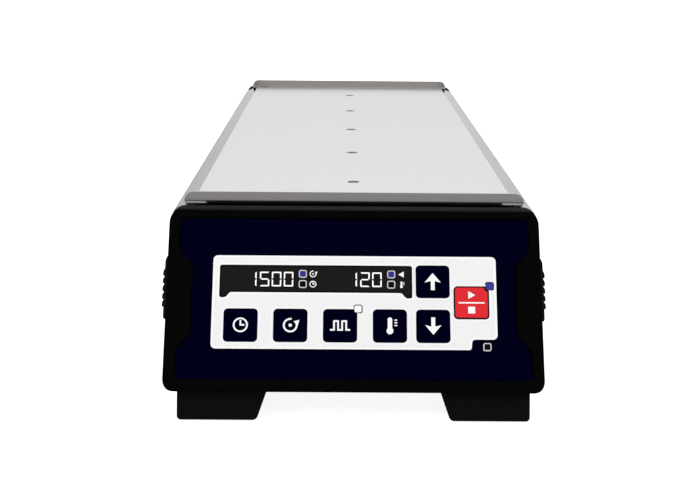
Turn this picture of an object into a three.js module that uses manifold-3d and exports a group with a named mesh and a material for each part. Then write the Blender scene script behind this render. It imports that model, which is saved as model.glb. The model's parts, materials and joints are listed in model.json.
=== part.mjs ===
// Five-position hotplate stirrer in millimetres: X runs across, +Y from the sloping control
// panel to the rear, +Z up, with the origin on the bench under the middle of the instrument.
import * as THREE from 'three';
import { mergeVertices } from 'three/addons/utils/BufferGeometryUtils.js';
import Module from 'manifold-3d';

const wasm = await Module();
wasm.setup();

const degree = Math.PI / 180;

// Driving sizes of the whole instrument.
const bodyHeight = 90;
const footHeight = 18;
const stirPositions = 5;
const stirPitch = 110;
const plateMargin = 67; // from the last stirring mark to the end of the sheet
const endGap = 4.5; // dark gap between the sheet and each end moulding
const faceLean = 30.3 * degree; // control face, leaning back from upright
const noseHeight = 1.6; // upright lip along the foot of the control face
const rimDepth = 3.7; // top of the console, from the face to its back
const capDepth = 12.7;
const outlineRadius = 7; // corners of both end mouldings, seen from the front
const wall = 3.5; // moulded walls
const seatGap = 0.3; // between pieces that rest on each other
const cutOverrun = 1; // how far a cut reaches past the face that it opens
const cornerSteps = 3;
const roundSides = 24;
const smallSides = 12;

// Steel sheet: top plate and base pan.
const sheetThickness = 1.2;
const shoulderWidth = 11; // sloping strip along each side of the plate
const shoulderDrop = 4.2;
const shoulderRadius = 2.5;
const skirtHeight = 15;
const upstandHeight = 6.6;
const upstandInset = 6.7; // from the side of the body to the end of the upstand
const upstandRadius = 5;
const reliefWidth = 3.6;
const reliefLength = 18;
const markDiameter = 7.4;
const markDepth = 0.4;
const panWallDrop = 6; // top of the pan walls, below the plate
const ventCount = 16;
const ventPitch = 9;
const ventWidth = 3.2;
const ventHeight = 26;
const ventLift = 14; // above the pan floor
const ventEndMargin = 58; // from the middle of a vent group's end slot to the end of the pan

// Cover screws in the skirts.
const screwShank = 3;
const screwLength = 6;
const screwHead = 5.8;
const screwHeadHeight = 1.8;
const screwSocket = 2.6;
const screwSocketDepth = 1.1;
const screwDrop = 7; // below the top edge of the skirt
const screwEndMargin = 70;

// Console face: pocket, film, label and what shows through them.
const pocketDepth = 2.2;
const pocketFloor = 1.8;
const rimRadius = 4.2;
const noseRadius = 0.7;
const spigotLength = 12;
const spigotThickness = 2.6;
const spigotRadius = 9;
const spigotDrop = 0.3;
const spigotRoot = 4; // length of spigot inside the moulding that carries it
const filmThickness = 0.7;
const rimWidth = 5.9; // from the film to the side of the console
const filmBottom = 6.3;
const filmTopMargin = 7.1;
const filmRadius = 2.2;
const waistDepth = 7.7; // film drawn in beside the grips
const waistLift = 26.3; // start of the waist, above the foot of the film
const waistDrop = 26.6; // end of the waist, below the top of the film
const waistSlant = 8.9;
const labelThickness = 0.4;
const labelBottom = 23;
const labelHeight = 52.8;
const labelRadius = 2.5;
const labelLeftMargin = 7.2; // outside the keys
const labelRightMargin = 4.3;
const labelOuterMargin = 10.6; // from the label to the waist of the film
const labelNotchWidth = 13.5;
const labelNotchHeight = 6.8;
const labelNotchSlant = 3.4;
const windowThickness = 1.2;
const windowLeftMargin = 4.5; // from the side of the label
const windowKeyGap = 2.4; // from the arrow keys
const windowTopMargin = 5.6;
const windowHeight = 15.4;
const windowRadius = 1.4;
const windowEar = 3; // depth of the ears below the window
const windowEarWidth = 3.4;
const windowEarSlant = 2.6;

// Keys and light windows. The keys and the gaps between them set the width of the body.
const rowKeys = ['key_time', 'key_speed', 'key_pulse', 'key_temperature'];
const keySize = 18.2;
const keyRadius = 1.7;
const keyProud = 0.5; // above the label
const keyTravel = 0.4;
const keyFlange = 0.7;
const keyFlangeThickness = 0.8;
const keyGap = 8.8;
const keyRowMargin = 4.4; // above the lower edge of the label
const arrowGap = 5.3; // from the row to the arrow keys
const arrowRise = 6.8; // between the arrow keys
const startGap = 2.4;
const startKeyWidth = 19;
const startKeyLift = 0.8; // above the middle of the arrow keys
const lampSize = 4.4;
const lampProud = 0.15;
const lampLength = 5;
const displayLampDrop = 4.7;
const displayLampStep = 5.8;
const leftLampInset = 45.2; // from the left end of the window
const rightLampInset = 11.2; // from its right end
const keyLampOut = 0.6; // lamp middle, past the corner of its key
const keyLampUp = 0.3;
const hotLampInset = 5.7;
const hotLampLift = 2.2;

// Boards behind the face.
const boardThickness = 1.6;
const boardSideMargin = 6.2; // past the label
const boardFootMargin = 6;
const boardTopMargin = 4.2;
const boardDrop = 3.4; // from the back of the pocket floor to the board
const boardPostRadius = 3;
const boardPostInset = 4.5;
const switchSize = 7;
const moduleMargin = 3;
const moduleThickness = 2.4;

// Grips on the sides of the console.
const gripLift = 33.4; // above the underside of the body
const gripHeight = 32.2;
const gripRise = 2;
const gripTopSlope = 6.2;
const gripBottomSlope = 2;
const gripRibCount = 5;
const gripRibPitch = 3.85;
const gripRibWidth = 2.2;
const gripRibRise = 0.7;
const gripRibDrop = 7; // first rib, below the top of the grip
const gripSetback = 1.2; // behind the control face
const gripBackMargin = 4;

// Feet and their rubber pads.
const footInset = 7.7;
const footWidth = 47;
const footSlant = 5.9;
const footRadius = 1.6;
const footLength = 40;
const footFrontSetback = 5;
const footRearSetback = 20;
const padProud = 1;
const padThickness = 3;
const padMargin = 7;
const padRadius = 3;

// Stack under the plate and the stirring drives.
const heaterThickness = 2;
const heaterMargin = 10;
const insulationThickness = 6;
const insulationSideMargin = 8;
const sensorLength = 24;
const sensorWidth = 8;
const sensorThickness = 3;
const rotorHeadroom = 3;
const magnetLength = 52;
const magnetWidth = 14;
const magnetHeight = 8;
const magnetPocket = 3;
const carrierRadius = 30;
const carrierThickness = 6;
const carrierHub = 7;
const carrierHubLength = 4;
const shaftRadius = 2.5;
const shaftLength = 18;
const shaftClearance = 0.35;
const motorRadius = 21;
const motorLength = 34;
const motorBoss = 8;
const motorBossClearance = 0.6;
const trayThickness = 1.5;
const trayInset = 12; // from the side of the body
const trayEndMargin = 34; // tray beyond the last motor axis
const supplyWidth = 120;
const supplyGap = 8; // from the power supply to the motors before and behind it
const supplyHeight = 30;
const supplyFin = 4;

// Mains module in the rear cap.
const inletSideMargin = 46; // from the side of the body to the middle of the module
const inletDrop = 3; // module middle, below the middle of the body
const flangeWidth = 32;
const flangeHeight = 64;
const flangeThickness = 2.5;
const flangeRadius = 3;
const housingWidth = 27;
const housingHeight = 56;
const housingDepth = 24;
const socketWidth = 24;
const socketHeight = 16;
const socketDepth = 18;
const socketCorner = 4;
const socketDrop = 17; // socket middle, below the module middle
const pinWidth = 2;
const pinHeight = 4;
const pinLength = 11;
const pinSpacing = 7;
const pinStagger = 2;
const drawerWidth = 20;
const drawerHeight = 8;
const drawerLength = 18;
const drawerFront = 2.4;
const drawerLip = 1.2;
const drawerGrip = 1.4;
const rockerWidth = 16;
const rockerRadius = 9.6;
const rockerLift = 16; // rocker middle, above the module middle
const rockerTilt = 8 * degree;
const rockerPivotDepth = 3; // pivot, inside the rear face of the flange
const rockerBack = 5;
const rockerSlot = 12; // depth of the housing's recess for the rocker
const pivotRadius = 1.2;
const pivotLength = 2;
const moduleClearance = 0.4;

// Places that follow from the driving sizes.
const keyRowWidth = rowKeys.length * keySize + (rowKeys.length - 1) * keyGap;
const labelWidth = labelLeftMargin + keyRowWidth + arrowGap + keySize
  + startGap + startKeyWidth + labelRightMargin;
const labelHalfWidth = labelWidth / 2;
const filmWaist = labelHalfWidth + labelOuterMargin;
const filmHalfWidth = filmWaist + waistDepth;
const bodyHalfWidth = filmHalfWidth + rimWidth;
const flatWidth = 2 * (bodyHalfWidth - shoulderWidth);
const upstandWidth = 2 * (bodyHalfWidth - upstandInset);
const plateHeight = footHeight + bodyHeight;
const sheetLength = (stirPositions - 1) * stirPitch + 2 * plateMargin;
const consoleDepth = rimDepth + (bodyHeight - noseHeight) * Math.tan(faceLean);
const overallLength = consoleDepth + sheetLength + 2 * endGap + capDepth + drawerLip;
const noseY = -overallLength / 2;
const consoleBackY = noseY + consoleDepth;
const sheetFrontY = consoleBackY + endGap;
const sheetRearY = sheetFrontY + sheetLength;
const capFrontY = sheetRearY + endGap;
const capRearY = capFrontY + capDepth;
const faceThickness = pocketDepth + pocketFloor;
const panFloorTop = footHeight + sheetThickness;
const panWallOuter = bodyHalfWidth - sheetThickness - seatGap;
const panWallInner = panWallOuter - sheetThickness;
const shoulderAngle = Math.atan2(shoulderDrop, bodyHalfWidth - flatWidth / 2);
const skirtTop = plateHeight - shoulderDrop;
const skirtBottom = skirtTop - skirtHeight;
const screwHeight = skirtTop - screwDrop;
const heaterTop = plateHeight - sheetThickness - seatGap;
const insulationTop = heaterTop - heaterThickness - seatGap;
const insulationBottom = insulationTop - insulationThickness;
const magnetTop = insulationBottom - rotorHeadroom;
const carrierTop = magnetTop - magnetHeight + magnetPocket;
const carrierBottom = carrierTop - carrierThickness;
const bossTop = carrierBottom - carrierHubLength - seatGap;
const trayTop = bossTop - seatGap;
const trayUnderside = trayTop - trayThickness;
const motorTop = trayUnderside - seatGap;
const motorBottom = motorTop - motorLength;
const labelTopLevel = -pocketDepth + filmThickness + labelThickness + 2 * seatGap;
const boardLevel = -faceThickness - boardDrop;
const moduleY = capRearY - flangeThickness;
const moduleZ = footHeight + bodyHeight / 2 - inletDrop;
const inletAcross = bodyHalfWidth - inletSideMargin;
const supplyLength = stirPitch - 2 * (motorRadius + supplyGap);
const trayHalfWidth = bodyHalfWidth - trayInset;

// Places on the control face, from its middle and its foot.
const filmTop = bodyHeight / Math.cos(faceLean) - filmTopMargin;
const waistLower = filmBottom + waistLift;
const waistUpper = filmTop - waistDrop;
const labelTop = labelBottom + labelHeight;
const keyRowLeft = labelLeftMargin + keySize / 2 - labelHalfWidth;
const keyRowHeight = labelBottom + keyRowMargin + keySize / 2;
const arrowColumn = keyRowLeft + keyRowWidth + arrowGap;
const upKeyHeight = keyRowHeight + keySize + arrowRise;
const startKeyAcross = labelHalfWidth - labelRightMargin - startKeyWidth / 2;
const startKeyHeight = (keyRowHeight + upKeyHeight) / 2 + startKeyLift;
const windowLeft = windowLeftMargin - labelHalfWidth;
const windowRight = arrowColumn - keySize / 2 - windowKeyGap;
const windowTop = labelTop - windowTopMargin;
const windowBottom = windowTop - windowHeight;
const boardHalfWidth = labelHalfWidth + boardSideMargin;
const boardBottom = labelBottom - boardFootMargin;
const boardTop = labelTop + boardTopMargin;

const markY = index => sheetFrontY + plateMargin + index * stirPitch;
const faceY = height => noseY + (height - footHeight - noseHeight) * Math.tan(faceLean);

// Finishes.
const finish = (colour, roughness, metalness) =>
  new THREE.MeshStandardMaterial({ color: colour, roughness, metalness });
const satinSteel = finish(0xd9dad9, 0.38, 0.9);
const blackMoulding = finish(0x0a0a0b, 0.5, 0);
const blackPaint = finish(0x17181a, 0.6, 0.2);
const blackRubber = finish(0x121212, 0.85, 0);
const navyFilm = finish(0x02021a, 0.35, 0);
const whiteLabel = finish(0xf2f2f2, 0.4, 0);
const smokedAcrylic = finish(0x1f1c1c, 0.15, 0);
const redKey = finish(0xdf2a33, 0.4, 0);
const blueLamp = finish(0x3f48a8, 0.3, 0);
const clearLamp = finish(0xe6e6e4, 0.3, 0);
const greenBoard = finish(0x1d5a33, 0.6, 0);
const plainSteel = finish(0x9a9c9e, 0.45, 0.9);
const silicone = finish(0xa8452c, 0.8, 0);
const mineralBoard = finish(0xd8d2c4, 0.95, 0);
const aluminium = finish(0xb9bbbd, 0.4, 0.9);
const magnetNickel = finish(0x8c8e92, 0.25, 1);
const screwSteel = finish(0x6f7174, 0.35, 0.9);

// Closed meshes and solids.
function toSolid(geometry) {
  const bare = new THREE.BufferGeometry();
  bare.setAttribute('position', geometry.getAttribute('position').clone());
  if (geometry.index) bare.setIndex(geometry.index.clone());
  const merged = mergeVertices(bare);
  const index = merged.index.array;
  const kept = [];
  for (let i = 0; i < index.length; i += 3) {
    const [a, b, c] = [index[i], index[i + 1], index[i + 2]];
    if (a !== b && b !== c && c !== a) kept.push(a, b, c);
  }
  return new wasm.Manifold(new wasm.Mesh({
    numProp: 3,
    vertProperties: new Float32Array(merged.attributes.position.array),
    triVerts: new Uint32Array(kept),
  }));
}

function toGeometry(solid) {
  const mesh = solid.getMesh();
  const geometry = new THREE.BufferGeometry();
  geometry.setAttribute('position', new THREE.BufferAttribute(mesh.vertProperties, 3));
  geometry.setIndex(new THREE.BufferAttribute(mesh.triVerts, 1));
  geometry.computeVertexNormals();
  return geometry;
}

const join = (...solids) => solids.reduce((whole, next) => whole.add(next));
const cut = (solid, ...tools) => tools.reduce((whole, tool) => whole.subtract(tool), solid);

function block([x0, x1], [y0, y1], [z0, z1]) {
  const box = new THREE.BoxGeometry(x1 - x0, y1 - y0, z1 - z0);
  return toSolid(box.translate((x0 + x1) / 2, (y0 + y1) / 2, (z0 + z1) / 2));
}

function extrude(outline, length, basis, offset) {
  const shape = new THREE.Shape(outline.map(([a, b]) => new THREE.Vector2(a, b)));
  const geometry = new THREE.ExtrudeGeometry(shape, { depth: length, bevelEnabled: false });
  return toSolid(geometry.applyMatrix4(basis).translate(...offset));
}

const axisX = new THREE.Vector3(1, 0, 0);
const axisY = new THREE.Vector3(0, 1, 0);
const axisZ = new THREE.Vector3(0, 0, 1);
const lookAlongX = new THREE.Matrix4().makeBasis(axisY, axisZ, axisX);
const lookAlongY = new THREE.Matrix4().makeBasis(axisX, axisZ, axisY.clone().negate());
const lookAlongZ = new THREE.Matrix4();

// A prism takes its outline as [y, z], [x, z] or [x, y] points.
const prismAlongX = (outline, x0, x1) => extrude(outline, x1 - x0, lookAlongX, [x0, 0, 0]);
const prismAlongY = (outline, y0, y1) => extrude(outline, y1 - y0, lookAlongY, [0, y1, 0]);
const prismAlongZ = (outline, z0, z1) => extrude(outline, z1 - z0, lookAlongZ, [0, 0, z0]);

function turned(profile, x, y, sides = roundSides) {
  const points = profile.map(([radius, height]) => new THREE.Vector2(radius, height));
  return toSolid(new THREE.LatheGeometry(points, sides).rotateX(Math.PI / 2).translate(x, y, 0));
}

const rod = (radius, x, y, [z0, z1], sides = roundSides) =>
  turned([[0, z0], [radius, z0], [radius, z1], [0, z1]], x, y, sides);

function rodAlongX(radius, [x0, x1], y, z, sides = smallSides) {
  const cylinder = new THREE.CylinderGeometry(radius, radius, x1 - x0, sides);
  return toSolid(cylinder.rotateZ(Math.PI / 2).translate((x0 + x1) / 2, y, z));
}

// Rounds each corner of an outline with an arc; one radius, or one for each corner.
function rounded(points, radii, steps = cornerSteps) {
  const result = [];
  points.forEach((point, i) => {
    const radius = Array.isArray(radii) ? radii[i] : radii;
    if (radius === 0) {
      result.push(point);
      return;
    }
    const corner = new THREE.Vector2(...point);
    const before = new THREE.Vector2(...points.at(i - 1)).sub(corner);
    const after = new THREE.Vector2(...points[(i + 1) % points.length]).sub(corner);
    const half = Math.abs(before.angleTo(after)) / 2;
    const reach = Math.min(radius / Math.tan(half), before.length() / 2, after.length() / 2);
    const start = corner.clone().add(before.setLength(reach));
    const end = corner.clone().add(after.setLength(reach));
    const middle = start.clone().add(end).divideScalar(2).sub(corner);
    const centre = corner.clone().add(middle.setLength(reach / Math.cos(half)));
    const from = start.clone().sub(centre);
    const turn = Math.atan2(from.cross(end.clone().sub(centre)), from.dot(end.clone().sub(centre)));
    for (let step = 0; step <= steps; step += 1) {
      const spoke = from.clone().rotateAround(new THREE.Vector2(), turn * step / steps);
      result.push(centre.clone().add(spoke).toArray());
    }
  });
  return result;
}

const rectangle = ([a0, a1], [b0, b1]) => [[a0, b0], [a1, b0], [a1, b1], [a0, b1]];
const around = (middle, size) => [middle - size / 2, middle + size / 2];
const spread = half => [-half, half];

const instrument = new THREE.Group();
const facePlane = new THREE.Group(); // x across, y up the control face, z out of it
facePlane.position.set(0, faceY(footHeight), footHeight);
facePlane.rotation.x = Math.PI / 2 - faceLean;
facePlane.updateMatrix();
instrument.add(facePlane);

function place(name, solid, material, parent = instrument) {
  const mesh = new THREE.Mesh(toGeometry(solid), material.clone());
  mesh.name = name;
  parent.add(mesh);
}

const fromFace = solid => toSolid(toGeometry(solid).applyMatrix4(facePlane.matrix));

// Outline of both end mouldings, seen from the front.
const mouldingOutline = inset => rounded(
  rectangle(spread(bodyHalfWidth - inset), [footHeight + inset, plateHeight - inset]),
  outlineRadius - inset / 2,
);

// Black collar that carries the ends of the pan and the sheet, hidden but for the end gap.
function spigot(y0, y1) {
  const outer = inset => rounded(
    rectangle(
      spread(panWallInner - seatGap - inset),
      [panFloorTop + seatGap + inset, plateHeight - sheetThickness - seatGap - spigotDrop - inset],
    ),
    spigotRadius - inset / 2,
  );
  return cut(
    prismAlongY(outer(0), y0, y1),
    prismAlongY(outer(spigotThickness), y0 - cutOverrun, y1 + cutOverrun),
  );
}

// Top plate: satin sheet with sloping shoulders, skirts and an upstand at each end.
function plateSection() {
  const skirtInset = sheetThickness * Math.tan((Math.PI / 2 - shoulderAngle) / 2);
  const flatInset = sheetThickness * Math.tan(shoulderAngle / 2);
  const half = [
    [bodyHalfWidth - sheetThickness, skirtBottom],
    [bodyHalfWidth, skirtBottom],
    [bodyHalfWidth, skirtTop],
    [flatWidth / 2, plateHeight],
  ];
  const inner = [
    [flatWidth / 2 - flatInset, plateHeight - sheetThickness],
    [bodyHalfWidth - sheetThickness, skirtTop - skirtInset],
  ];
  const mirror = points => points.map(([x, z]) => [-x, z]).reverse();
  const points = [...half, ...mirror(half), ...mirror(inner), ...inner];
  const radii = points.map(([x, z]) => (z === skirtTop ? shoulderRadius : 0));
  return rounded(points, radii);
}

function upstand(y0) {
  const wingUnderside = plateHeight;
  const points = [
    [-upstandWidth / 2, wingUnderside],
    [-flatWidth / 2, wingUnderside],
    [-flatWidth / 2, plateHeight - sheetThickness / 2],
    [flatWidth / 2, plateHeight - sheetThickness / 2],
    [flatWidth / 2, wingUnderside],
    [upstandWidth / 2, wingUnderside],
    [upstandWidth / 2, plateHeight + upstandHeight],
    [-upstandWidth / 2, plateHeight + upstandHeight],
  ];
  const radii = points.map(([x, z]) => (z > wingUnderside ? upstandRadius : 0));
  return prismAlongY(rounded(points, radii, 2 * cornerSteps), y0, y0 + sheetThickness);
}

function reliefNotch(side, endY, inward) {
  const edge = side * flatWidth / 2;
  const outline = [
    [edge, endY - inward * cutOverrun],
    [edge + side * reliefWidth, endY - inward * cutOverrun],
    [edge, endY + inward * reliefLength],
  ];
  return prismAlongZ(outline, skirtBottom, plateHeight - seatGap / 2);
}

const screwPlaces = [-1, 1].flatMap(side =>
  [sheetFrontY + screwEndMargin, sheetRearY - screwEndMargin].map(y => ({ side, y })));

const screwHoles = () => screwPlaces.map(({ side, y }) => {
  const outer = side * (bodyHalfWidth + cutOverrun);
  const inner = side * (panWallInner - cutOverrun);
  return rodAlongX(screwShank / 2 + seatGap, [Math.min(outer, inner), Math.max(outer, inner)],
    y, screwHeight);
});

function topPlate() {
  const marks = Array.from({ length: stirPositions }, (_, i) =>
    rod(markDiameter / 2, 0, markY(i), [plateHeight - markDepth, plateHeight + cutOverrun]));
  const notches = [-1, 1].flatMap(side =>
    [reliefNotch(side, sheetFrontY, 1), reliefNotch(side, sheetRearY, -1)]);
  const sheet = cut(prismAlongY(plateSection(), sheetFrontY, sheetRearY), ...notches);
  return cut(
    join(sheet, upstand(sheetFrontY), upstand(sheetRearY - sheetThickness)),
    ...marks, ...screwHoles(),
  );
}

// Base pan: painted floor and side walls with a row of vent slots towards each end.
function basePan() {
  const panFront = consoleBackY + seatGap;
  const panRear = capFrontY - seatGap;
  const wallTop = plateHeight - panWallDrop;
  const section = [
    [-panWallOuter, footHeight], [panWallOuter, footHeight], [panWallOuter, wallTop],
    [panWallInner, wallTop], [panWallInner, panFloorTop], [-panWallInner, panFloorTop],
    [-panWallInner, wallTop], [-panWallOuter, wallTop],
  ];
  const vents = [];
  for (let i = 0; i < ventCount; i += 1) {
    const group = i < ventCount / 2;
    const step = (group ? i : ventCount - 1 - i) * ventPitch;
    const y = group ? panFront + ventEndMargin + step : panRear - ventEndMargin - step;
    vents.push(block(
      spread(bodyHalfWidth),
      around(y, ventWidth),
      [panFloorTop + ventLift, panFloorTop + ventLift + ventHeight],
    ));
  }
  return cut(prismAlongY(section, panFront, panRear), ...vents, ...screwHoles());
}

function coverScrew({ side, y }) {
  const outward = (near, far) => [Math.min(side * near, side * far), Math.max(side * near, side * far)];
  const headTop = bodyHalfWidth + screwHeadHeight;
  const head = rodAlongX(screwHead / 2, outward(bodyHalfWidth, headTop), y, screwHeight);
  const shank = outward(bodyHalfWidth - screwLength, bodyHalfWidth + screwHeadHeight / 2);
  const socket = outward(headTop - screwSocketDepth, headTop + cutOverrun);
  return cut(
    join(head, rodAlongX(screwShank / 2, shank, y, screwHeight)),
    rodAlongX(screwSocket / 2, socket, y, screwHeight, smallSides / 2),
  );
}

// Film, label and pocket outlines, as [x, height up the face] points.
function filmOutline(grow) {
  const wide = filmHalfWidth + grow;
  const waist = filmWaist + grow;
  const right = [
    [wide, filmBottom - grow],
    [wide, waistLower - waistSlant],
    [waist, waistLower],
    [waist, waistUpper],
    [wide, waistUpper + waistSlant],
    [wide, filmTop + grow],
  ];
  return rounded([...right, ...right.map(([x, s]) => [-x, s]).reverse()], filmRadius);
}

const labelOutline = () => rounded([
  [-labelHalfWidth, labelBottom],
  [labelHalfWidth - labelNotchWidth, labelBottom],
  [labelHalfWidth - labelNotchWidth + labelNotchSlant, labelBottom + labelNotchHeight],
  [labelHalfWidth, labelBottom + labelNotchHeight],
  [labelHalfWidth, labelTop],
  [-labelHalfWidth, labelTop],
], labelRadius);

const windowOutline = grow => rounded([
  [windowLeft - grow, windowBottom - windowEar - grow],
  [windowLeft + windowEarWidth + grow, windowBottom - windowEar - grow],
  [windowLeft + windowEarWidth + windowEarSlant + grow, windowBottom - grow],
  [windowRight - windowEarWidth - windowEarSlant - grow, windowBottom - grow],
  [windowRight - windowEarWidth - grow, windowBottom - windowEar - grow],
  [windowRight + grow, windowBottom - windowEar - grow],
  [windowRight + grow, windowTop + grow],
  [windowLeft - grow, windowTop + grow],
], windowRadius);

const keys = [
  ...rowKeys.map((name, i) => ({
    name, x: keyRowLeft + i * (keySize + keyGap), s: keyRowHeight, width: keySize, material: navyFilm,
  })),
  { name: 'key_up', x: arrowColumn, s: upKeyHeight, width: keySize, material: navyFilm },
  { name: 'key_down', x: arrowColumn, s: keyRowHeight, width: keySize, material: navyFilm },
  { name: 'key_start_stop', x: startKeyAcross, s: startKeyHeight, width: startKeyWidth, material: redKey },
];

const leftLamps = windowLeft + leftLampInset;
const rightLamps = windowRight - rightLampInset;
const upperLamps = windowTop - displayLampDrop;
const lowerLamps = upperLamps - displayLampStep;

function byCorner(name) {
  const key = keys.find(one => one.name === name);
  return [key.x + key.width / 2 + keyLampOut, key.s + keySize / 2 + keyLampUp];
}

const lamps = [
  { name: 'lamp_speed', at: [leftLamps, upperLamps], material: blueLamp },
  { name: 'lamp_minutes', at: [leftLamps, lowerLamps], material: clearLamp },
  { name: 'lamp_set', at: [rightLamps, upperLamps], material: blueLamp },
  { name: 'lamp_actual', at: [rightLamps, lowerLamps], material: clearLamp },
  { name: 'lamp_pulse', at: byCorner('key_pulse'), material: clearLamp },
  { name: 'lamp_run', at: byCorner('key_start_stop'), material: blueLamp },
  {
    name: 'lamp_hot', at: [labelHalfWidth - hotLampInset, labelBottom + hotLampLift], material: clearLamp,
  },
];

function keyPrism(key, grow, n0, n1) {
  const outline = rectangle(around(key.x, key.width + 2 * grow), around(key.s, keySize + 2 * grow));
  return prismAlongZ(rounded(outline, keyRadius + grow), n0, n1);
}

function lampPrism({ at: [x, s] }, grow, n0, n1) {
  return block(around(x, lampSize + 2 * grow), around(s, lampSize + 2 * grow), [n0, n1]);
}

const faceOpenings = (n0, n1) => [
  ...keys.map(key => keyPrism(key, seatGap, n0, n1)),
  ...lamps.map(lamp => lampPrism(lamp, seatGap, n0, n1)),
  prismAlongZ(windowOutline(seatGap), n0, n1),
];

function controlKey(key) {
  const capTop = labelTopLevel + keyProud;
  const flangeTop = -faceThickness - seatGap;
  const flangeBottom = flangeTop - keyFlangeThickness;
  const nearLamps = lamps.map(lamp =>
    lampPrism(lamp, 2 * seatGap, boardLevel, capTop + cutOverrun));
  return cut(
    join(
      keyPrism(key, 0, flangeBottom, capTop),
      keyPrism(key, keyFlange, flangeBottom, flangeTop),
    ),
    ...nearLamps,
  );
}

function controlBoard() {
  const underKeys = -faceThickness - 2 * seatGap - keyFlangeThickness - keyTravel;
  const board = block(spread(boardHalfWidth), [boardBottom, boardTop],
    [boardLevel - boardThickness, boardLevel]);
  const switches = keys.map(({ x, s }) =>
    block(around(x, switchSize), around(s, switchSize), [boardLevel - seatGap, underKeys]));
  return join(board, ...switches);
}

const boardPosts = [-1, 1].flatMap(side => [boardBottom + boardPostInset, boardTop - boardPostInset].map(
  s => ({ x: side * (boardHalfWidth - boardPostInset), s })));

// Console: hollow wedge with a pocket in its face and a collar that runs into the body.
function consoleProfile() {
  return rounded([
    [consoleBackY, footHeight],
    [consoleBackY, plateHeight],
    [consoleBackY - rimDepth, plateHeight],
    [noseY, footHeight + noseHeight],
    [noseY, footHeight],
  ], [0, 0, rimRadius, noseRadius, noseRadius]);
}

function consoleHollow() {
  const bottom = footHeight + wall;
  const top = plateHeight - wall;
  const inside = height => faceY(height) + faceThickness / Math.cos(faceLean);
  const back = consoleBackY + cutOverrun;
  const profile = [[back, bottom], [back, top], [inside(top), top], [inside(bottom), bottom]];
  return prismAlongY(mouldingOutline(wall), noseY, back)
    .intersect(prismAlongX(profile, -bodyHalfWidth, bodyHalfWidth));
}

function frontBezel() {
  const wedge = prismAlongY(mouldingOutline(0), noseY - cutOverrun, consoleBackY)
    .intersect(prismAlongX(consoleProfile(), -bodyHalfWidth, bodyHalfWidth));
  const posts = boardPosts.map(({ x, s }) =>
    rod(boardPostRadius, x, s, [boardLevel + seatGap, -faceThickness + seatGap], smallSides));
  const openings = faceOpenings(-faceThickness - cutOverrun, cutOverrun);
  const pocket = prismAlongZ(filmOutline(seatGap), -pocketDepth, cutOverrun);
  return join(
    cut(wedge, consoleHollow(), fromFace(join(pocket, ...openings))),
    spigot(consoleBackY - spigotRoot, consoleBackY + spigotLength),
    ...posts.map(fromFace),
  );
}

function panelFilm() {
  const back = -pocketDepth + seatGap;
  const film = prismAlongZ(filmOutline(0), back, back + filmThickness);
  return cut(film, ...faceOpenings(back - cutOverrun, cutOverrun));
}

function controlLabel() {
  const back = labelTopLevel - labelThickness;
  const label = prismAlongZ(labelOutline(), back, labelTopLevel);
  return cut(label, ...faceOpenings(back - cutOverrun, cutOverrun));
}

function displayWindow() {
  const back = labelTopLevel - windowThickness;
  const pane = prismAlongZ(windowOutline(0), back, labelTopLevel);
  return cut(pane, ...lamps.map(lamp => lampPrism(lamp, seatGap, back - cutOverrun, cutOverrun)));
}

function displayModule() {
  const back = boardLevel + seatGap;
  const front = labelTopLevel - windowThickness - seatGap;
  const module = block(
    [windowLeft + moduleMargin, windowRight - moduleMargin],
    [windowBottom + seatGap, windowTop - seatGap],
    [back, Math.min(front, back + moduleThickness)],
  );
  return cut(module, ...lamps.map(lamp => lampPrism(lamp, seatGap, back - cutOverrun, cutOverrun)));
}

const lampTop = labelTopLevel + lampProud;
const lampLens = lamp => lampPrism(lamp, 0, lampTop - lampLength, lampTop);

// Ribbed grip on one side of the console, cut back along the control face.
function sideGrip(side) {
  const bottom = footHeight + gripLift;
  const top = bottom + gripHeight;
  const skin = bodyHalfWidth + gripRise;
  const points = [
    [bodyHalfWidth, top],
    [bodyHalfWidth, bottom],
    [skin, bottom + gripBottomSlope],
  ];
  for (let rib = gripRibCount - 1; rib >= 0; rib -= 1) {
    const ribTop = top - gripRibDrop - rib * gripRibPitch;
    const crest = skin + gripRibRise;
    points.push([skin, ribTop - gripRibWidth], [crest, ribTop - gripRibWidth + gripRibRise]);
    points.push([crest, ribTop - gripRibRise], [skin, ribTop]);
  }
  points.push([skin, top - gripTopSlope]);
  const outline = points.map(([x, z]) => [side * x, z]);
  const back = consoleBackY - gripBackMargin;
  const faceCut = [
    [faceY(bottom) + gripSetback, bottom], [back, bottom], [back, top], [faceY(top) + gripSetback, top],
  ];
  const reach = skin + gripRibRise + cutOverrun;
  return prismAlongY(outline, noseY, back).intersect(prismAlongX(faceCut, -reach, reach));
}

// Rear cap: shallow tray with its collar, and the opening for the mains module.
function rearCap() {
  const shell = cut(
    prismAlongY(mouldingOutline(0), capFrontY, capRearY),
    prismAlongY(mouldingOutline(wall), capFrontY - cutOverrun, capRearY - wall),
  );
  const recess = block(
    around(inletAcross, flangeWidth + 2 * seatGap),
    [moduleY - seatGap, capRearY + cutOverrun],
    around(moduleZ, flangeHeight + 2 * seatGap),
  );
  const opening = block(
    around(inletAcross, housingWidth + 2 * seatGap),
    [capFrontY - cutOverrun, capRearY + cutOverrun],
    around(moduleZ, housingHeight + 2 * seatGap),
  );
  const collar = spigot(capFrontY - spigotLength, capFrontY + spigotRoot);
  return join(cut(shell, recess, opening), collar);
}

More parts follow.
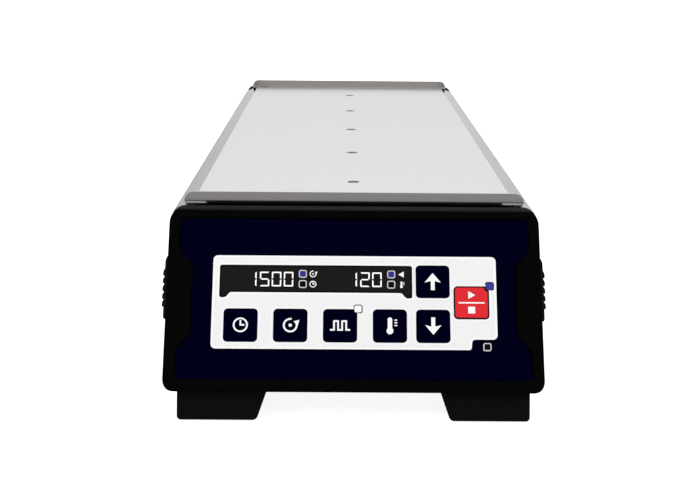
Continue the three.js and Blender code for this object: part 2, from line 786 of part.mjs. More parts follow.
// Mains module: flange, socket with three pins, fuse drawer slot and rocker recess.
function powerInlet() {
  const face = capRearY;
  const flange = prismAlongY(
    rounded(rectangle(around(inletAcross, flangeWidth), around(moduleZ, flangeHeight)), flangeRadius),
    moduleY, face,
  );
  const housing = block(
    around(inletAcross, housingWidth),
    [moduleY - housingDepth, moduleY + flangeThickness / 2],
    around(moduleZ, housingHeight),
  );
  const socketMiddle = moduleZ - socketDrop;
  const [left, right] = around(inletAcross, socketWidth);
  const [low, high] = around(socketMiddle, socketHeight);
  const socketOutline = [
    [left, low], [right, low], [right, high - socketCorner], [right - socketCorner, high],
    [left + socketCorner, high], [left, high - socketCorner],
  ];
  const socket = prismAlongY(socketOutline, face - socketDepth, face + cutOverrun);
  const pins = [-1, 0, 1].map(step => block(
    around(inletAcross + step * pinSpacing, pinWidth),
    [face - socketDepth - seatGap, face - socketDepth + pinLength],
    around(socketMiddle + (step === 0 ? pinStagger : -pinStagger), pinHeight),
  ));
  const slot = block(
    around(inletAcross, drawerWidth + 2 * moduleClearance),
    [face - drawerLength - moduleClearance, face + cutOverrun],
    around(moduleZ, drawerHeight + 2 * moduleClearance),
  );
  const rockerRoom = block(
    around(inletAcross, rockerWidth + 2 * moduleClearance),
    [face - rockerSlot, face + cutOverrun],
    around(moduleZ + rockerLift, 2 * (rockerRadius + moduleClearance)),
  );
  const pivotHalf = rockerWidth / 2 + pivotLength + moduleClearance;
  const pivotBore = rodAlongX(pivotRadius + moduleClearance / 2, around(inletAcross, 2 * pivotHalf),
    face - rockerPivotDepth, moduleZ + rockerLift);
  return join(cut(join(flange, housing), socket, slot, rockerRoom, pivotBore), ...pins);
}

function fuseDrawer() {
  const face = capRearY;
  const body = block(
    around(inletAcross, drawerWidth),
    [face - drawerLength, face + drawerLip],
    around(moduleZ, drawerHeight),
  );
  const nailGroove = block(
    around(inletAcross, drawerWidth / 2),
    [face, face + drawerLip + cutOverrun],
    [moduleZ + drawerHeight / 2 - drawerGrip, moduleZ + drawerHeight],
  );
  const fuseBay = block(
    around(inletAcross, drawerWidth - 2 * drawerFront),
    [face - drawerLength + drawerFront, face - drawerFront],
    [moduleZ - drawerHeight / 2 + drawerFront, moduleZ + drawerHeight],
  );
  return cut(body, nailGroove, fuseBay);
}

// Rocker: its two faces meet over the pivot, and it rests with its lower half pressed in.
function powerRocker() {
  const y = capRearY - rockerPivotDepth;
  const z = moduleZ + rockerLift;
  const arm = rockerRadius;
  const rise = arm * Math.tan(rockerTilt);
  const outline = [
    [y - rockerBack, z - arm / 2], [y - rockerBack, z + arm / 2],
    [y, z + arm - rise], [y + rockerPivotDepth, z + arm - 2 * rise],
    [y + rockerPivotDepth - rise, z], [y + rockerPivotDepth, z - arm + 2 * rise], [y, z - arm + rise],
  ];
  const turn = new THREE.Matrix4().makeTranslation(0, y, z)
    .multiply(new THREE.Matrix4().makeRotationX(-rockerTilt))
    .multiply(new THREE.Matrix4().makeTranslation(0, -y, -z));
  const [left, right] = around(inletAcross, rockerWidth);
  const cap = toSolid(toGeometry(prismAlongX(outline, left, right)).applyMatrix4(turn));
  return join(cap, rodAlongX(pivotRadius, [left - pivotLength, right + pivotLength], y, z));
}

// Feet: outer side upright, inner side slanting in towards the bench.
const footPlaces = [
  ['front_left', -1, noseY + footFrontSetback],
  ['front_right', 1, noseY + footFrontSetback],
  ['rear_left', -1, capRearY - footRearSetback - footLength],
  ['rear_right', 1, capRearY - footRearSetback - footLength],
];
const footOuter = bodyHalfWidth - footInset;
const padAcross = [footOuter - footWidth + footSlant + padMargin, footOuter - padMargin];

const padOutline = (side, y0, grow) => rounded(
  rectangle(
    padAcross.map((x, i) => side * (x + (i === 0 ? -grow : grow))),
    [y0 + padMargin - grow, y0 + footLength - padMargin + grow],
  ),
  padRadius,
);

function foot(side, y0) {
  const points = [
    [footOuter, padProud], [footOuter, footHeight],
    [footOuter - footWidth, footHeight], [footOuter - footWidth + footSlant, padProud],
  ].map(([x, z]) => [side * x, z]);
  const body = prismAlongY(rounded(points, [footRadius, 0, 0, footRadius]), y0, y0 + footLength);
  return cut(body, prismAlongZ(padOutline(side, y0, seatGap), 0, padThickness + seatGap));
}

// Heating stack, motor channel and stirring drives.
function insulationBoard(sensorY) {
  const board = block(
    spread(panWallInner - insulationSideMargin),
    [sheetFrontY + heaterMargin, sheetRearY - heaterMargin],
    [insulationBottom, insulationTop],
  );
  return cut(board, block(
    around(0, sensorLength + 2 * seatGap),
    around(sensorY, sensorWidth + 2 * seatGap),
    [insulationTop - sensorThickness - seatGap, insulationTop + cutOverrun],
  ));
}

function motorTray() {
  const section = [
    [-trayHalfWidth, panFloorTop], [-trayHalfWidth, trayTop], [trayHalfWidth, trayTop],
    [trayHalfWidth, panFloorTop], [trayHalfWidth - trayThickness, panFloorTop],
    [trayHalfWidth - trayThickness, trayUnderside], [-trayHalfWidth + trayThickness, trayUnderside],
    [-trayHalfWidth + trayThickness, panFloorTop],
  ];
  const holes = Array.from({ length: stirPositions }, (_, i) => rod(
    motorBoss + motorBossClearance, 0, markY(i),
    [trayUnderside - cutOverrun, trayTop + cutOverrun], smallSides,
  ));
  const end = stirPositions - 1;
  return cut(prismAlongY(section, markY(0) - trayEndMargin, markY(end) + trayEndMargin), ...holes);
}

function stirMotor(y) {
  const bore = shaftRadius + shaftClearance;
  const boreFloor = carrierBottom - shaftLength - seatGap;
  return turned([
    [0, motorBottom], [motorRadius, motorBottom], [motorRadius, motorTop], [motorBoss, motorTop],
    [motorBoss, bossTop], [bore, bossTop], [bore, boreFloor], [0, boreFloor],
  ], 0, y);
}

function magnetCarrier(y) {
  const disc = turned([
    [0, carrierBottom - shaftLength], [shaftRadius, carrierBottom - shaftLength],
    [shaftRadius, carrierBottom - carrierHubLength], [carrierHub, carrierBottom - carrierHubLength],
    [carrierHub, carrierBottom], [carrierRadius, carrierBottom],
    [carrierRadius, carrierTop], [0, carrierTop],
  ], 0, y);
  return cut(disc, block(
    around(0, magnetLength + 2 * seatGap),
    around(y, magnetWidth + 2 * seatGap),
    [carrierTop - magnetPocket - seatGap, carrierTop + cutOverrun],
  ));
}

const driveMagnet = y => block(
  around(0, magnetLength), around(y, magnetWidth), [magnetTop - magnetHeight, magnetTop],
);

function powerSupply() {
  const middle = (markY(stirPositions - 2) + markY(stirPositions - 1)) / 2;
  const body = block(around(0, supplyWidth), around(middle, supplyLength),
    [panFloorTop, panFloorTop + supplyHeight]);
  const fins = Array.from({ length: 4 }, (_, i) => block(
    around(supplyWidth * (i / 3 - 1 / 2) * 2 / 3, supplyFin),
    around(middle, supplyLength + 2 * cutOverrun),
    [panFloorTop + supplyHeight - supplyFin, panFloorTop + supplyHeight + cutOverrun],
  ));
  return cut(body, ...fins);
}

// The assembly.
place('top_plate', topPlate(), satinSteel);
place('base_pan', basePan(), blackPaint);
place('front_bezel', frontBezel(), blackMoulding);
place('rear_cap', rearCap(), blackMoulding);
place('left_grip', sideGrip(-1), blackRubber);
place('right_grip', sideGrip(1), blackRubber);
place('panel_film', panelFilm(), navyFilm, facePlane);
place('control_label', controlLabel(), whiteLabel, facePlane);
place('display_window', displayWindow(), smokedAcrylic, facePlane);
place('display_module', displayModule(), plainSteel, facePlane);
place('control_board', controlBoard(), greenBoard, facePlane);
keys.forEach(key => place(key.name, controlKey(key), key.material, facePlane));
lamps.forEach(lamp => place(lamp.name, lampLens(lamp), lamp.material, facePlane));

footPlaces.forEach(([corner, side, y0]) => {
  place(`${corner}_foot`, foot(side, y0), blackMoulding);
  place(`${corner}_pad`, prismAlongZ(padOutline(side, y0, 0), 0, padThickness), blackRubber);
});

const sensorY = markY(0) + stirPitch * (stirPositions - 2) / 2;
place('heater_mat', block(
  spread(flatWidth / 2 - heaterMargin / 2),
  [sheetFrontY + spigotLength, sheetRearY - spigotLength],
  [heaterTop - heaterThickness, heaterTop],
), silicone);
place('insulation_board', insulationBoard(sensorY), mineralBoard);
place('temperature_sensor', block(
  around(0, sensorLength), around(sensorY, sensorWidth), [insulationTop - sensorThickness, insulationTop],
), plainSteel);
place('motor_tray', motorTray(), plainSteel);
for (let i = 0; i < stirPositions; i += 1) {
  place(`stir_motor_${i + 1}`, stirMotor(markY(i)), plainSteel);
  place(`magnet_carrier_${i + 1}`, magnetCarrier(markY(i)), aluminium);
  place(`drive_magnet_${i + 1}`, driveMagnet(markY(i)), magnetNickel);
}
place('power_supply', powerSupply(), plainSteel);
place('power_inlet', powerInlet(), blackMoulding);
place('fuse_drawer', fuseDrawer(), blackMoulding);
place('power_rocker', powerRocker(), blackMoulding);
screwPlaces.forEach((spot, i) => place(`cover_screw_${i + 1}`, coverScrew(spot), screwSteel));

export default instrument;
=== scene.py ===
import json
import math

import bmesh
import bpy
from mathutils import Matrix, Vector


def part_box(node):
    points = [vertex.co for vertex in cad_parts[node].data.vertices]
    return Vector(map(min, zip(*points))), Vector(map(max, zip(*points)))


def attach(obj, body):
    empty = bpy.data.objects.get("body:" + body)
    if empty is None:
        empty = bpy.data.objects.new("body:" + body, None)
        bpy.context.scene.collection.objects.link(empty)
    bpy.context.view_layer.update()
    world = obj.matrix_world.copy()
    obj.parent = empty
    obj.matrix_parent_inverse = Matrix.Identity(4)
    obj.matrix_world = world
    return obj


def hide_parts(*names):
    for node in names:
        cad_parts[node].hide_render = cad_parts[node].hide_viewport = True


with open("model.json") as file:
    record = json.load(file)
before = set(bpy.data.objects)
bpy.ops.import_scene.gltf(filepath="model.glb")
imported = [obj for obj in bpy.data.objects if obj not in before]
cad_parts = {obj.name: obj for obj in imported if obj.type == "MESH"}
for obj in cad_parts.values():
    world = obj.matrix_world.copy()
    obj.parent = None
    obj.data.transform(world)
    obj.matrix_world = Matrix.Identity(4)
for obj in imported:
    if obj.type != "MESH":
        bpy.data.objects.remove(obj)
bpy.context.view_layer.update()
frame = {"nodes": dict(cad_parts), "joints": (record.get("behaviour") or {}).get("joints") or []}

# Pieces are modelled in millimetres, at their place, and brought to metres when they are finished.
toMetres = 0.001
tiny = 0.01  # how close a point must be to count as on a line
past = 1  # how far a cutting tool reaches past what it cuts
gap = 0.3  # between pieces that rest on each other
selectModes = {"verts": "VERT", "edges": "EDGE", "faces": "FACE"}


# Small helpers for modelling by hand

def leaveEdit():
    if bpy.context.mode != "OBJECT":
        bpy.ops.object.mode_set(mode="OBJECT")


def deselect():
    leaveEdit()
    bpy.ops.object.select_all(action="DESELECT")


def choose(piece):
    deselect()
    piece.select_set(True)
    bpy.context.view_layer.objects.active = piece


def settle(piece, place):
    # takes a piece to its place and leaves its object unturned at the origin
    leaveEdit()
    piece.matrix_world = place
    choose(piece)
    bpy.ops.object.transform_apply(location=True, rotation=True, scale=True)
    return piece


def flatPlace(middle, turn):
    # a place on a flat sheet, turned by an angle in degrees
    return Matrix.Translation((*middle, 0)) @ Matrix.Rotation(math.radians(turn), 4, "Z")


def added(name, size=(1, 1, 1)):
    piece = bpy.context.object
    piece.name = name
    piece.scale = size
    bpy.ops.object.transform_apply(location=True, rotation=True, scale=True)
    return piece


def addBox(name, low, high):
    deselect()
    bpy.ops.mesh.primitive_cube_add(size=1, location=[(a + b) / 2 for a, b in zip(low, high)])
    return added(name, [b - a for a, b in zip(low, high)])


def addBar(name, middle, size, start, end):
    # box along y, with the middle and the size of its section
    x, z, wide, tall = *middle, size[0] / 2, size[1] / 2
    return addBox(name, (x - wide, start, z - tall), (x + wide, end, z + tall))


def addFlat(name, low, high):
    deselect()
    bpy.ops.mesh.primitive_plane_add(size=1, location=((low[0] + high[0]) / 2, (low[1] + high[1]) / 2, 0))
    return added(name, (high[0] - low[0], high[1] - low[1], 1))


def addDisc(name, middle, radius, sides=32):
    deselect()
    bpy.ops.mesh.primitive_circle_add(vertices=sides, radius=radius, fill_type="NGON", location=(*middle, 0))
    return added(name)


def addRod(name, radius, start, end, sides=48):
    deselect()
    start, end = Vector(start), Vector(end)
    turn = (end - start).to_track_quat("Z", "Y").to_euler()
    bpy.ops.mesh.primitive_cylinder_add(
        vertices=sides, radius=radius, depth=(end - start).length, location=(start + end) / 2, rotation=turn)
    return added(name)


def pick(piece, kind, test):
    if bpy.context.mode != "EDIT_MESH" or bpy.context.object != piece:
        choose(piece)
        bpy.ops.object.mode_set(mode="EDIT")
    bpy.ops.mesh.select_mode(type=selectModes[kind])
    bpy.ops.mesh.select_all(action="DESELECT")
    mesh = bmesh.from_edit_mesh(piece.data)
    mesh.normal_update()
    for item in getattr(mesh, kind):
        item.select_set(bool(test(item)))
    mesh.select_flush_mode()
    bmesh.update_edit_mesh(piece.data)


def everything(item):
    return True


def near(value, other):
    return abs(value - other) < tiny


def both(edge, test):
    return all(test(v.co) for v in edge.verts)


def ends(test):
    # for edges that pass with both of their ends
    return lambda edge: both(edge, test)


def runsAlong(edge, axis):
    first, second = (getattr(v.co, axis) for v in edge.verts)
    return abs(first - second) > 1


def roundEdges(piece, test, width, segments=4):
    pick(piece, "edges", test)
    bpy.ops.mesh.bevel(offset=width, segments=segments, affect="EDGES")


def roundCorners(piece, test, width, segments=5):
    pick(piece, "verts", test)
    bpy.ops.mesh.bevel(offset=width, segments=segments, affect="VERTICES")


def extrude(way):
    bpy.ops.mesh.extrude_region_move(TRANSFORM_OT_translate={"value": way})


def pull(piece, kind, test, way):
    pick(piece, kind, test)
    extrude(way)


def shift(piece, kind, test, way):
    pick(piece, kind, test)
    bpy.ops.transform.translate(value=way)


def drop(piece, test):
    pick(piece, "faces", test)
    bpy.ops.mesh.delete(type="FACE")


def faceOutward(piece):
    pick(piece, "faces", everything)
    bpy.ops.mesh.normals_make_consistent(inside=False)


def merged(piece):
    pick(piece, "faces", everything)
    bpy.ops.mesh.dissolve_limited(angle_limit=math.radians(1))


def slicePiece(piece, point, normal, clear=False):
    pick(piece, "faces", everything)
    bpy.ops.mesh.bisect(plane_co=point, plane_no=normal, use_fill=clear, clear_outer=clear)


def modify(piece, kind, **settings):
    choose(piece)
    modifier = piece.modifiers.new(kind, kind)
    for name, value in settings.items():
        setattr(modifier, name, value)
    bpy.ops.object.modifier_apply(modifier=modifier.name)


def cut(piece, tool, operation="DIFFERENCE"):
    modify(piece, "BOOLEAN", operation=operation, solver="EXACT", object=tool)
    bpy.data.objects.remove(tool)


def bevelSharp(piece, width, segments, angle=40):
    modify(piece, "BEVEL", width=width, segments=segments, limit_method="ANGLE",
           angle_limit=math.radians(angle))


def thicken(piece, thickness):
    modify(piece, "SOLIDIFY", thickness=thickness, offset=-1, use_even_offset=True)


def rise(piece, low, high):
    # a flat sheet becomes a slab between two levels
    shift(piece, "faces", everything, (0, 0, low))
    pull(piece, "faces", everything, (0, 0, high - low))
    faceOutward(piece)
    leaveEdit()
    return piece


def joined(name, pieces):
    deselect()
    for piece in pieces:
        piece.select_set(True)
    bpy.context.view_layer.objects.active = pieces[0]
    if len(pieces) > 1:
        bpy.ops.object.join()
    pieces[0].name = name
    return pieces[0]


def paint(piece, number, test):
    leaveEdit()
    for face in piece.data.polygons:
        if test(face):
            face.material_index = number


def finishPiece(piece, looks, replaces=(), body="housing", place=Matrix.Identity(4), smooth=35):
    settle(piece, Matrix.Scale(toMetres, 4) @ place)
    faceOutward(piece)
    if bmesh.from_edit_mesh(piece.data).calc_volume(signed=True) < 0:
        bpy.ops.mesh.flip_normals()
    leaveEdit()
    bpy.ops.object.shade_smooth_by_angle(angle=math.radians(smooth))
    modify(piece, "WEIGHTED_NORMAL", keep_sharp=True)
    for look in looks:
        piece.data.materials.append(finishes[look])
    if replaces:
        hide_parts(*replaces)
    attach(piece, body)
    return piece


# Places that come from the frame

def boxOf(node):
    low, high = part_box(node)
    return low / toMetres, high / toMetres


console = {
    "noseHeight": 1.6,
    "wall": 3.5,
    "proud": 0.5,  # how far the end mouldings stand out from the sheet at each side
    "drop": 0.5,
    "cornerRadii": (6.0, 8.5),  # lower and upper corners
    "topDrop": 0.3,
    "faceEdge": 0.6,
    "brow": 1.2,  # level strip behind the bevel at the top
    "browAngle": 20.8,
    "browFall": 3.1,  # height of the bevel
    "pocketDepth": 2.2,
    "pocketFloor": 1.8,
    "pocketEdge": 0.9,
    "pocketSide": 4.0,  # the pocket's rim keeps this far in from the sides and the nose
    "pocketTop": 99.5,  # and lies below this height along the face
    "collarLength": 12.0,
    "collarRoot": 4.0,
    "collarWall": 2.6,
    "collarRadius": 9.0,
    "collarSide": 3.0,  # in from the side of the body
    "collarFloor": 1.5,  # above the underside of the body
    "collarTop": 1.8,  # below the top of the body
    "postRadius": 3.0,
    "postInset": 4.5,
    "postLength": 3.1,
}
pressAxis = next(joint["axis"] for joint in frame["joints"] if joint["name"] == "key_time_press")
lean = math.atan2(-pressAxis[2], pressAxis[1])
bezelLow, bezelHigh = boxOf("front_bezel")
half = bezelHigh.x
bodyBottom, bodyTop = bezelLow.z, bezelHigh.z
noseY = bezelLow.y
consoleBack = bezelHigh.y - console["collarLength"]
facePlace = (
    Matrix.Translation((0, noseY - console["noseHeight"] * math.tan(lean), bodyBottom))
    @ Matrix.Rotation(math.pi / 2 - lean, 4, "X")
)
faceNormal = Vector((0, -math.cos(lean), math.sin(lean)))


def onFace(point):
    return facePlace.inverted() @ Vector(point)


def faceBox(node):
    points = [onFace(v.co / toMetres) for v in frame["nodes"][node].data.vertices]
    low = Vector([min(p[i] for p in points) for i in range(3)])
    high = Vector([max(p[i] for p in points) for i in range(3)])
    return low, high


# Camera, light and room

cameraView = {
    "place": (-7.76, -978.62, 254.71),
    "yaw": 0.449,
    "pitch": 13.681,
    "roll": 0.515,
    "focalPixels": 1292,
    "imageWidth": 700,
    "sensor": 36,
    "clip": (0.01, 100),
}


def addCamera():
    yaw, pitch, roll = (math.radians(cameraView[k]) for k in ("yaw", "pitch", "roll"))
    camera = bpy.data.objects.new("camera", bpy.data.cameras.new("camera"))
    bpy.context.scene.collection.objects.link(camera)
    camera.data.sensor_width = cameraView["sensor"]
    camera.data.lens = cameraView["focalPixels"] / cameraView["imageWidth"] * cameraView["sensor"]
    camera.data.clip_start, camera.data.clip_end = cameraView["clip"]
    camera.matrix_world = (
        Matrix.Translation(Vector(cameraView["place"]) * toMetres)
        @ Matrix.Rotation(-yaw, 4, "Z")
        @ Matrix.Rotation(math.pi / 2 - pitch, 4, "X")
        @ Matrix.Rotation(roll, 4, "Z")
    )
    bpy.context.scene.camera = camera


lamps = [
    {"name": "key_light", "place": (-0.9, -1.3, 1.5), "size": 0.9, "power": 13},
    {"name": "fill_light", "place": (1.3, -0.9, 1.0), "size": 1.0, "power": 5},
    {"name": "top_light", "place": (0.0, 0.5, 1.8), "size": 1.4, "power": 8},
]
lampAim = Vector((0, -0.1, 0.05))


def addLamps():
    for lamp in lamps:
        light = bpy.data.lights.new(lamp["name"], "AREA")
        light.shape = "DISK"
        light.size = lamp["size"]
        light.energy = lamp["power"]
        holder = bpy.data.objects.new(lamp["name"], light)
        bpy.context.scene.collection.objects.link(holder)
        holder.location = lamp["place"]
        holder.visible_glossy = False  # gloss shows the backdrop, not the lamps
        holder.rotation_euler = (lampAim - holder.location).to_track_quat("-Z", "Y").to_euler()


def linear(colour):
    parts = [int(colour[i:i + 2], 16) / 255 for i in (1, 3, 5)]
    return (*[p / 12.92 if p <= 0.04045 else ((p + 0.055) / 1.055) ** 2.4 for p in parts], 1.0)


def addNode(tree, kind, inputs, **settings):
    # adds a node with its settings, and links those of its inputs that come from another node
    node = tree.nodes.new(kind)
    for name, value in settings.items():
        setattr(node, name, value)
    for name, value in inputs.items():
        if isinstance(value, bpy.types.NodeSocket):
            tree.links.new(value, node.inputs[name])
        else:
            node.inputs[name].default_value = value
    return node


room = {
    "sky": 0.55,
    "backdrop": 1.0,
    "glossPeak": 1.15,
    # what gloss sees by height, behind the object and in front of it
    "rearGloss": [(0, 0.15), (0.1, 0.47), (0.2, 0.8), (0.3, 0.98), (0.45, 1), (1, 0.88)],
    "frontGloss": [(0, 0.17), (0.1, 0.22), (0.33, 0.75), (0.55, 0.7), (0.72, 0.3), (0.85, 0.4), (1, 0.88)],
    "turn": (-0.2, 0.4),
    "backdropSides": (0.15, 0.24),
    "leftGloss": 0.7,
    "rightGloss": 0.86,
    "floorSize": 30,
    "floorColour": "#e6e6e6",
    "floorGlow": 0.9,
    "floorInGloss": "#918e8c",
}


def addRoom():
    # white backdrop of limited width for gloss, dim behind the camera, and an even soft sky for the rest
    world = bpy.data.worlds.new("studio")
    bpy.context.scene.world = world
    world.use_nodes = True
    tree = world.node_tree
    rays = addNode(tree, "ShaderNodeLightPath", {}).outputs
    way = addNode(tree, "ShaderNodeTexCoord", {}).outputs["Generated"]
    along = addNode(tree, "ShaderNodeSeparateXYZ", {"Vector": way}).outputs
    profiles = []
    for stops in (room["frontGloss"], room["rearGloss"]):
        levels = addNode(tree, "ShaderNodeValToRGB", {"Fac": along["Z"]})
        elements = levels.color_ramp.elements
        for place, level in stops:
            element = elements[0] if place == 0 else elements[-1] if place == 1 else elements.new(place)
            element.color = (level, level, level, 1)
        profiles.append(levels.outputs["Color"])
    inner, outer = room["backdropSides"]
    fades = [
        addNode(tree, "ShaderNodeMapRange", {
            "Value": along[axis], "From Min": start, "From Max": stop, "To Min": low, "To Max": high})
        for axis, start, stop, low, high in (
            ("Y", *room["turn"], 0, 1),
            ("X", -outer, -inner, room["leftGloss"], 1),
            ("X", inner, outer, 1, room["rightGloss"]),
        )
    ]
    turn, leftFade, rightFade = (fade.outputs["Result"] for fade in fades)
    mix = addNode(tree, "ShaderNodeMix", {"Factor": turn, "A": profiles[0], "B": profiles[1]})
    gloss = mix.outputs["Result"]
    for factor in (room["glossPeak"], leftFade, rightFade):
        gloss = addNode(tree, "ShaderNodeMath", {0: gloss, 1: factor}, operation="MULTIPLY").outputs["Value"]
    clear = addNode(tree, "ShaderNodeMath", {0: rays["Is Camera Ray"], 1: rays["Is Transmission Ray"]},
                    operation="MAXIMUM")
    shiny = addNode(tree, "ShaderNodeMix", {"Factor": rays["Is Glossy Ray"], "A": room["sky"], "B": gloss})
    seen = addNode(tree, "ShaderNodeMix", {
        "Factor": clear.outputs["Value"], "A": shiny.outputs["Result"], "B": room["backdrop"]})
    background = tree.nodes["Background"]
    background.inputs["Color"].default_value = linear("#ffffff")
    tree.links.new(seen.outputs["Result"], background.inputs["Strength"])

    # pale floor: the eye gets some of its white as a glow, so a shadow still darkens it
    deselect()
    bpy.ops.mesh.primitive_plane_add(size=room["floorSize"])
    floor = bpy.context.object
    floor.name = "floor"
    paper = bpy.data.materials.new("backdrop paper")
    paper.use_nodes = True
    tree = paper.node_tree
    tree.nodes.clear()
    rays = addNode(tree, "ShaderNodeLightPath", {}).outputs
    shade = addNode(tree, "ShaderNodeMix", {
        "Factor": rays["Is Glossy Ray"], 6: linear(room["floorColour"]), 7: linear(room["floorInGloss"])},
        data_type="RGBA")
    matt = addNode(tree, "ShaderNodeBsdfDiffuse", {"Color": shade.outputs[2]})
    glow = addNode(tree, "ShaderNodeMath", {0: rays["Is Camera Ray"], 1: room["floorGlow"]},
                   operation="MULTIPLY")
    white = addNode(tree, "ShaderNodeEmission", {"Strength": glow.outputs["Value"]})
    surface = addNode(tree, "ShaderNodeAddShader", {0: matt.outputs["BSDF"], 1: white.outputs["Emission"]})
    addNode(tree, "ShaderNodeOutputMaterial", {"Surface": surface.outputs["Shader"]})
    floor.data.materials.append(paper)


# Finishes: real size of the pattern in millimetres, its two tones, its roughness and its relief

pattern = {"spread": (0.3, 0.7), "roughness": 0.6}  # the part of the noise that is used, and its harshness


def newFinish(name, colour, roughness, tones=None, size=1.5, stretch=(1, 1, 1), detail=2.0, cloud=None,
              gloss=None, depth=0, strength=0.5, specular=0.5, **sockets):
    # gloss is the range of the roughness, and cloud the size of its own pattern where it has one
    material = bpy.data.materials.new(name)
    material.use_nodes = True
    tree = material.node_tree
    shader = tree.nodes["Principled BSDF"]
    own = {"Base_Color": linear(colour), "Roughness": roughness, "Specular_IOR_Level": specular, **sockets}
    for key, value in own.items():
        shader.inputs[key.replace("_", " ")].default_value = value
    place = addNode(tree, "ShaderNodeTexCoord", {}).outputs["Object"]
    lumps = []
    for width, drawnOut, octaves in [(size, stretch, detail)] + [(cloud, (1, 1, 1), 2.0)] * bool(cloud):
        scaled = addNode(tree, "ShaderNodeMapping", {
            "Vector": place, "Scale": [1 / (width * toMetres * s) for s in drawnOut]})
        lumps.append(addNode(tree, "ShaderNodeTexNoise", {
            "Vector": scaled.outputs["Vector"], "Scale": 1.0, "Detail": octaves,
            "Roughness": pattern["roughness"]}).outputs["Fac"])
    start, stop = pattern["spread"]
    for source, limits in ((lumps[0], tones and (0, 1)), (lumps[-1], gloss)):
        if not limits:
            continue
        level = addNode(tree, "ShaderNodeMapRange", {
            "Value": source, "From Min": start, "From Max": stop, "To Min": limits[0], "To Max": limits[1]})
        if limits is gloss:
            tree.links.new(level.outputs["Result"], shader.inputs["Roughness"])
            continue
        mix = addNode(tree, "ShaderNodeMix", {
            "Factor": level.outputs["Result"], 6: linear(tones[0]), 7: linear(tones[1])}, data_type="RGBA")
        tree.links.new(mix.outputs[2], shader.inputs["Base Color"])
    if depth:
        bump = addNode(tree, "ShaderNodeBump", {
            "Height": lumps[0], "Distance": depth * toMetres, "Strength": strength})
        tree.links.new(bump.outputs["Normal"], shader.inputs["Normal"])
    return material


def litWindow(name, colour, strength):
    # light window with its lamp on: the colour glows a little and does not blind
    return newFinish(name, colour, 0.4, (colour, colour), 0.9, Emission_Strength=strength,
                     Emission_Color=linear(colour))


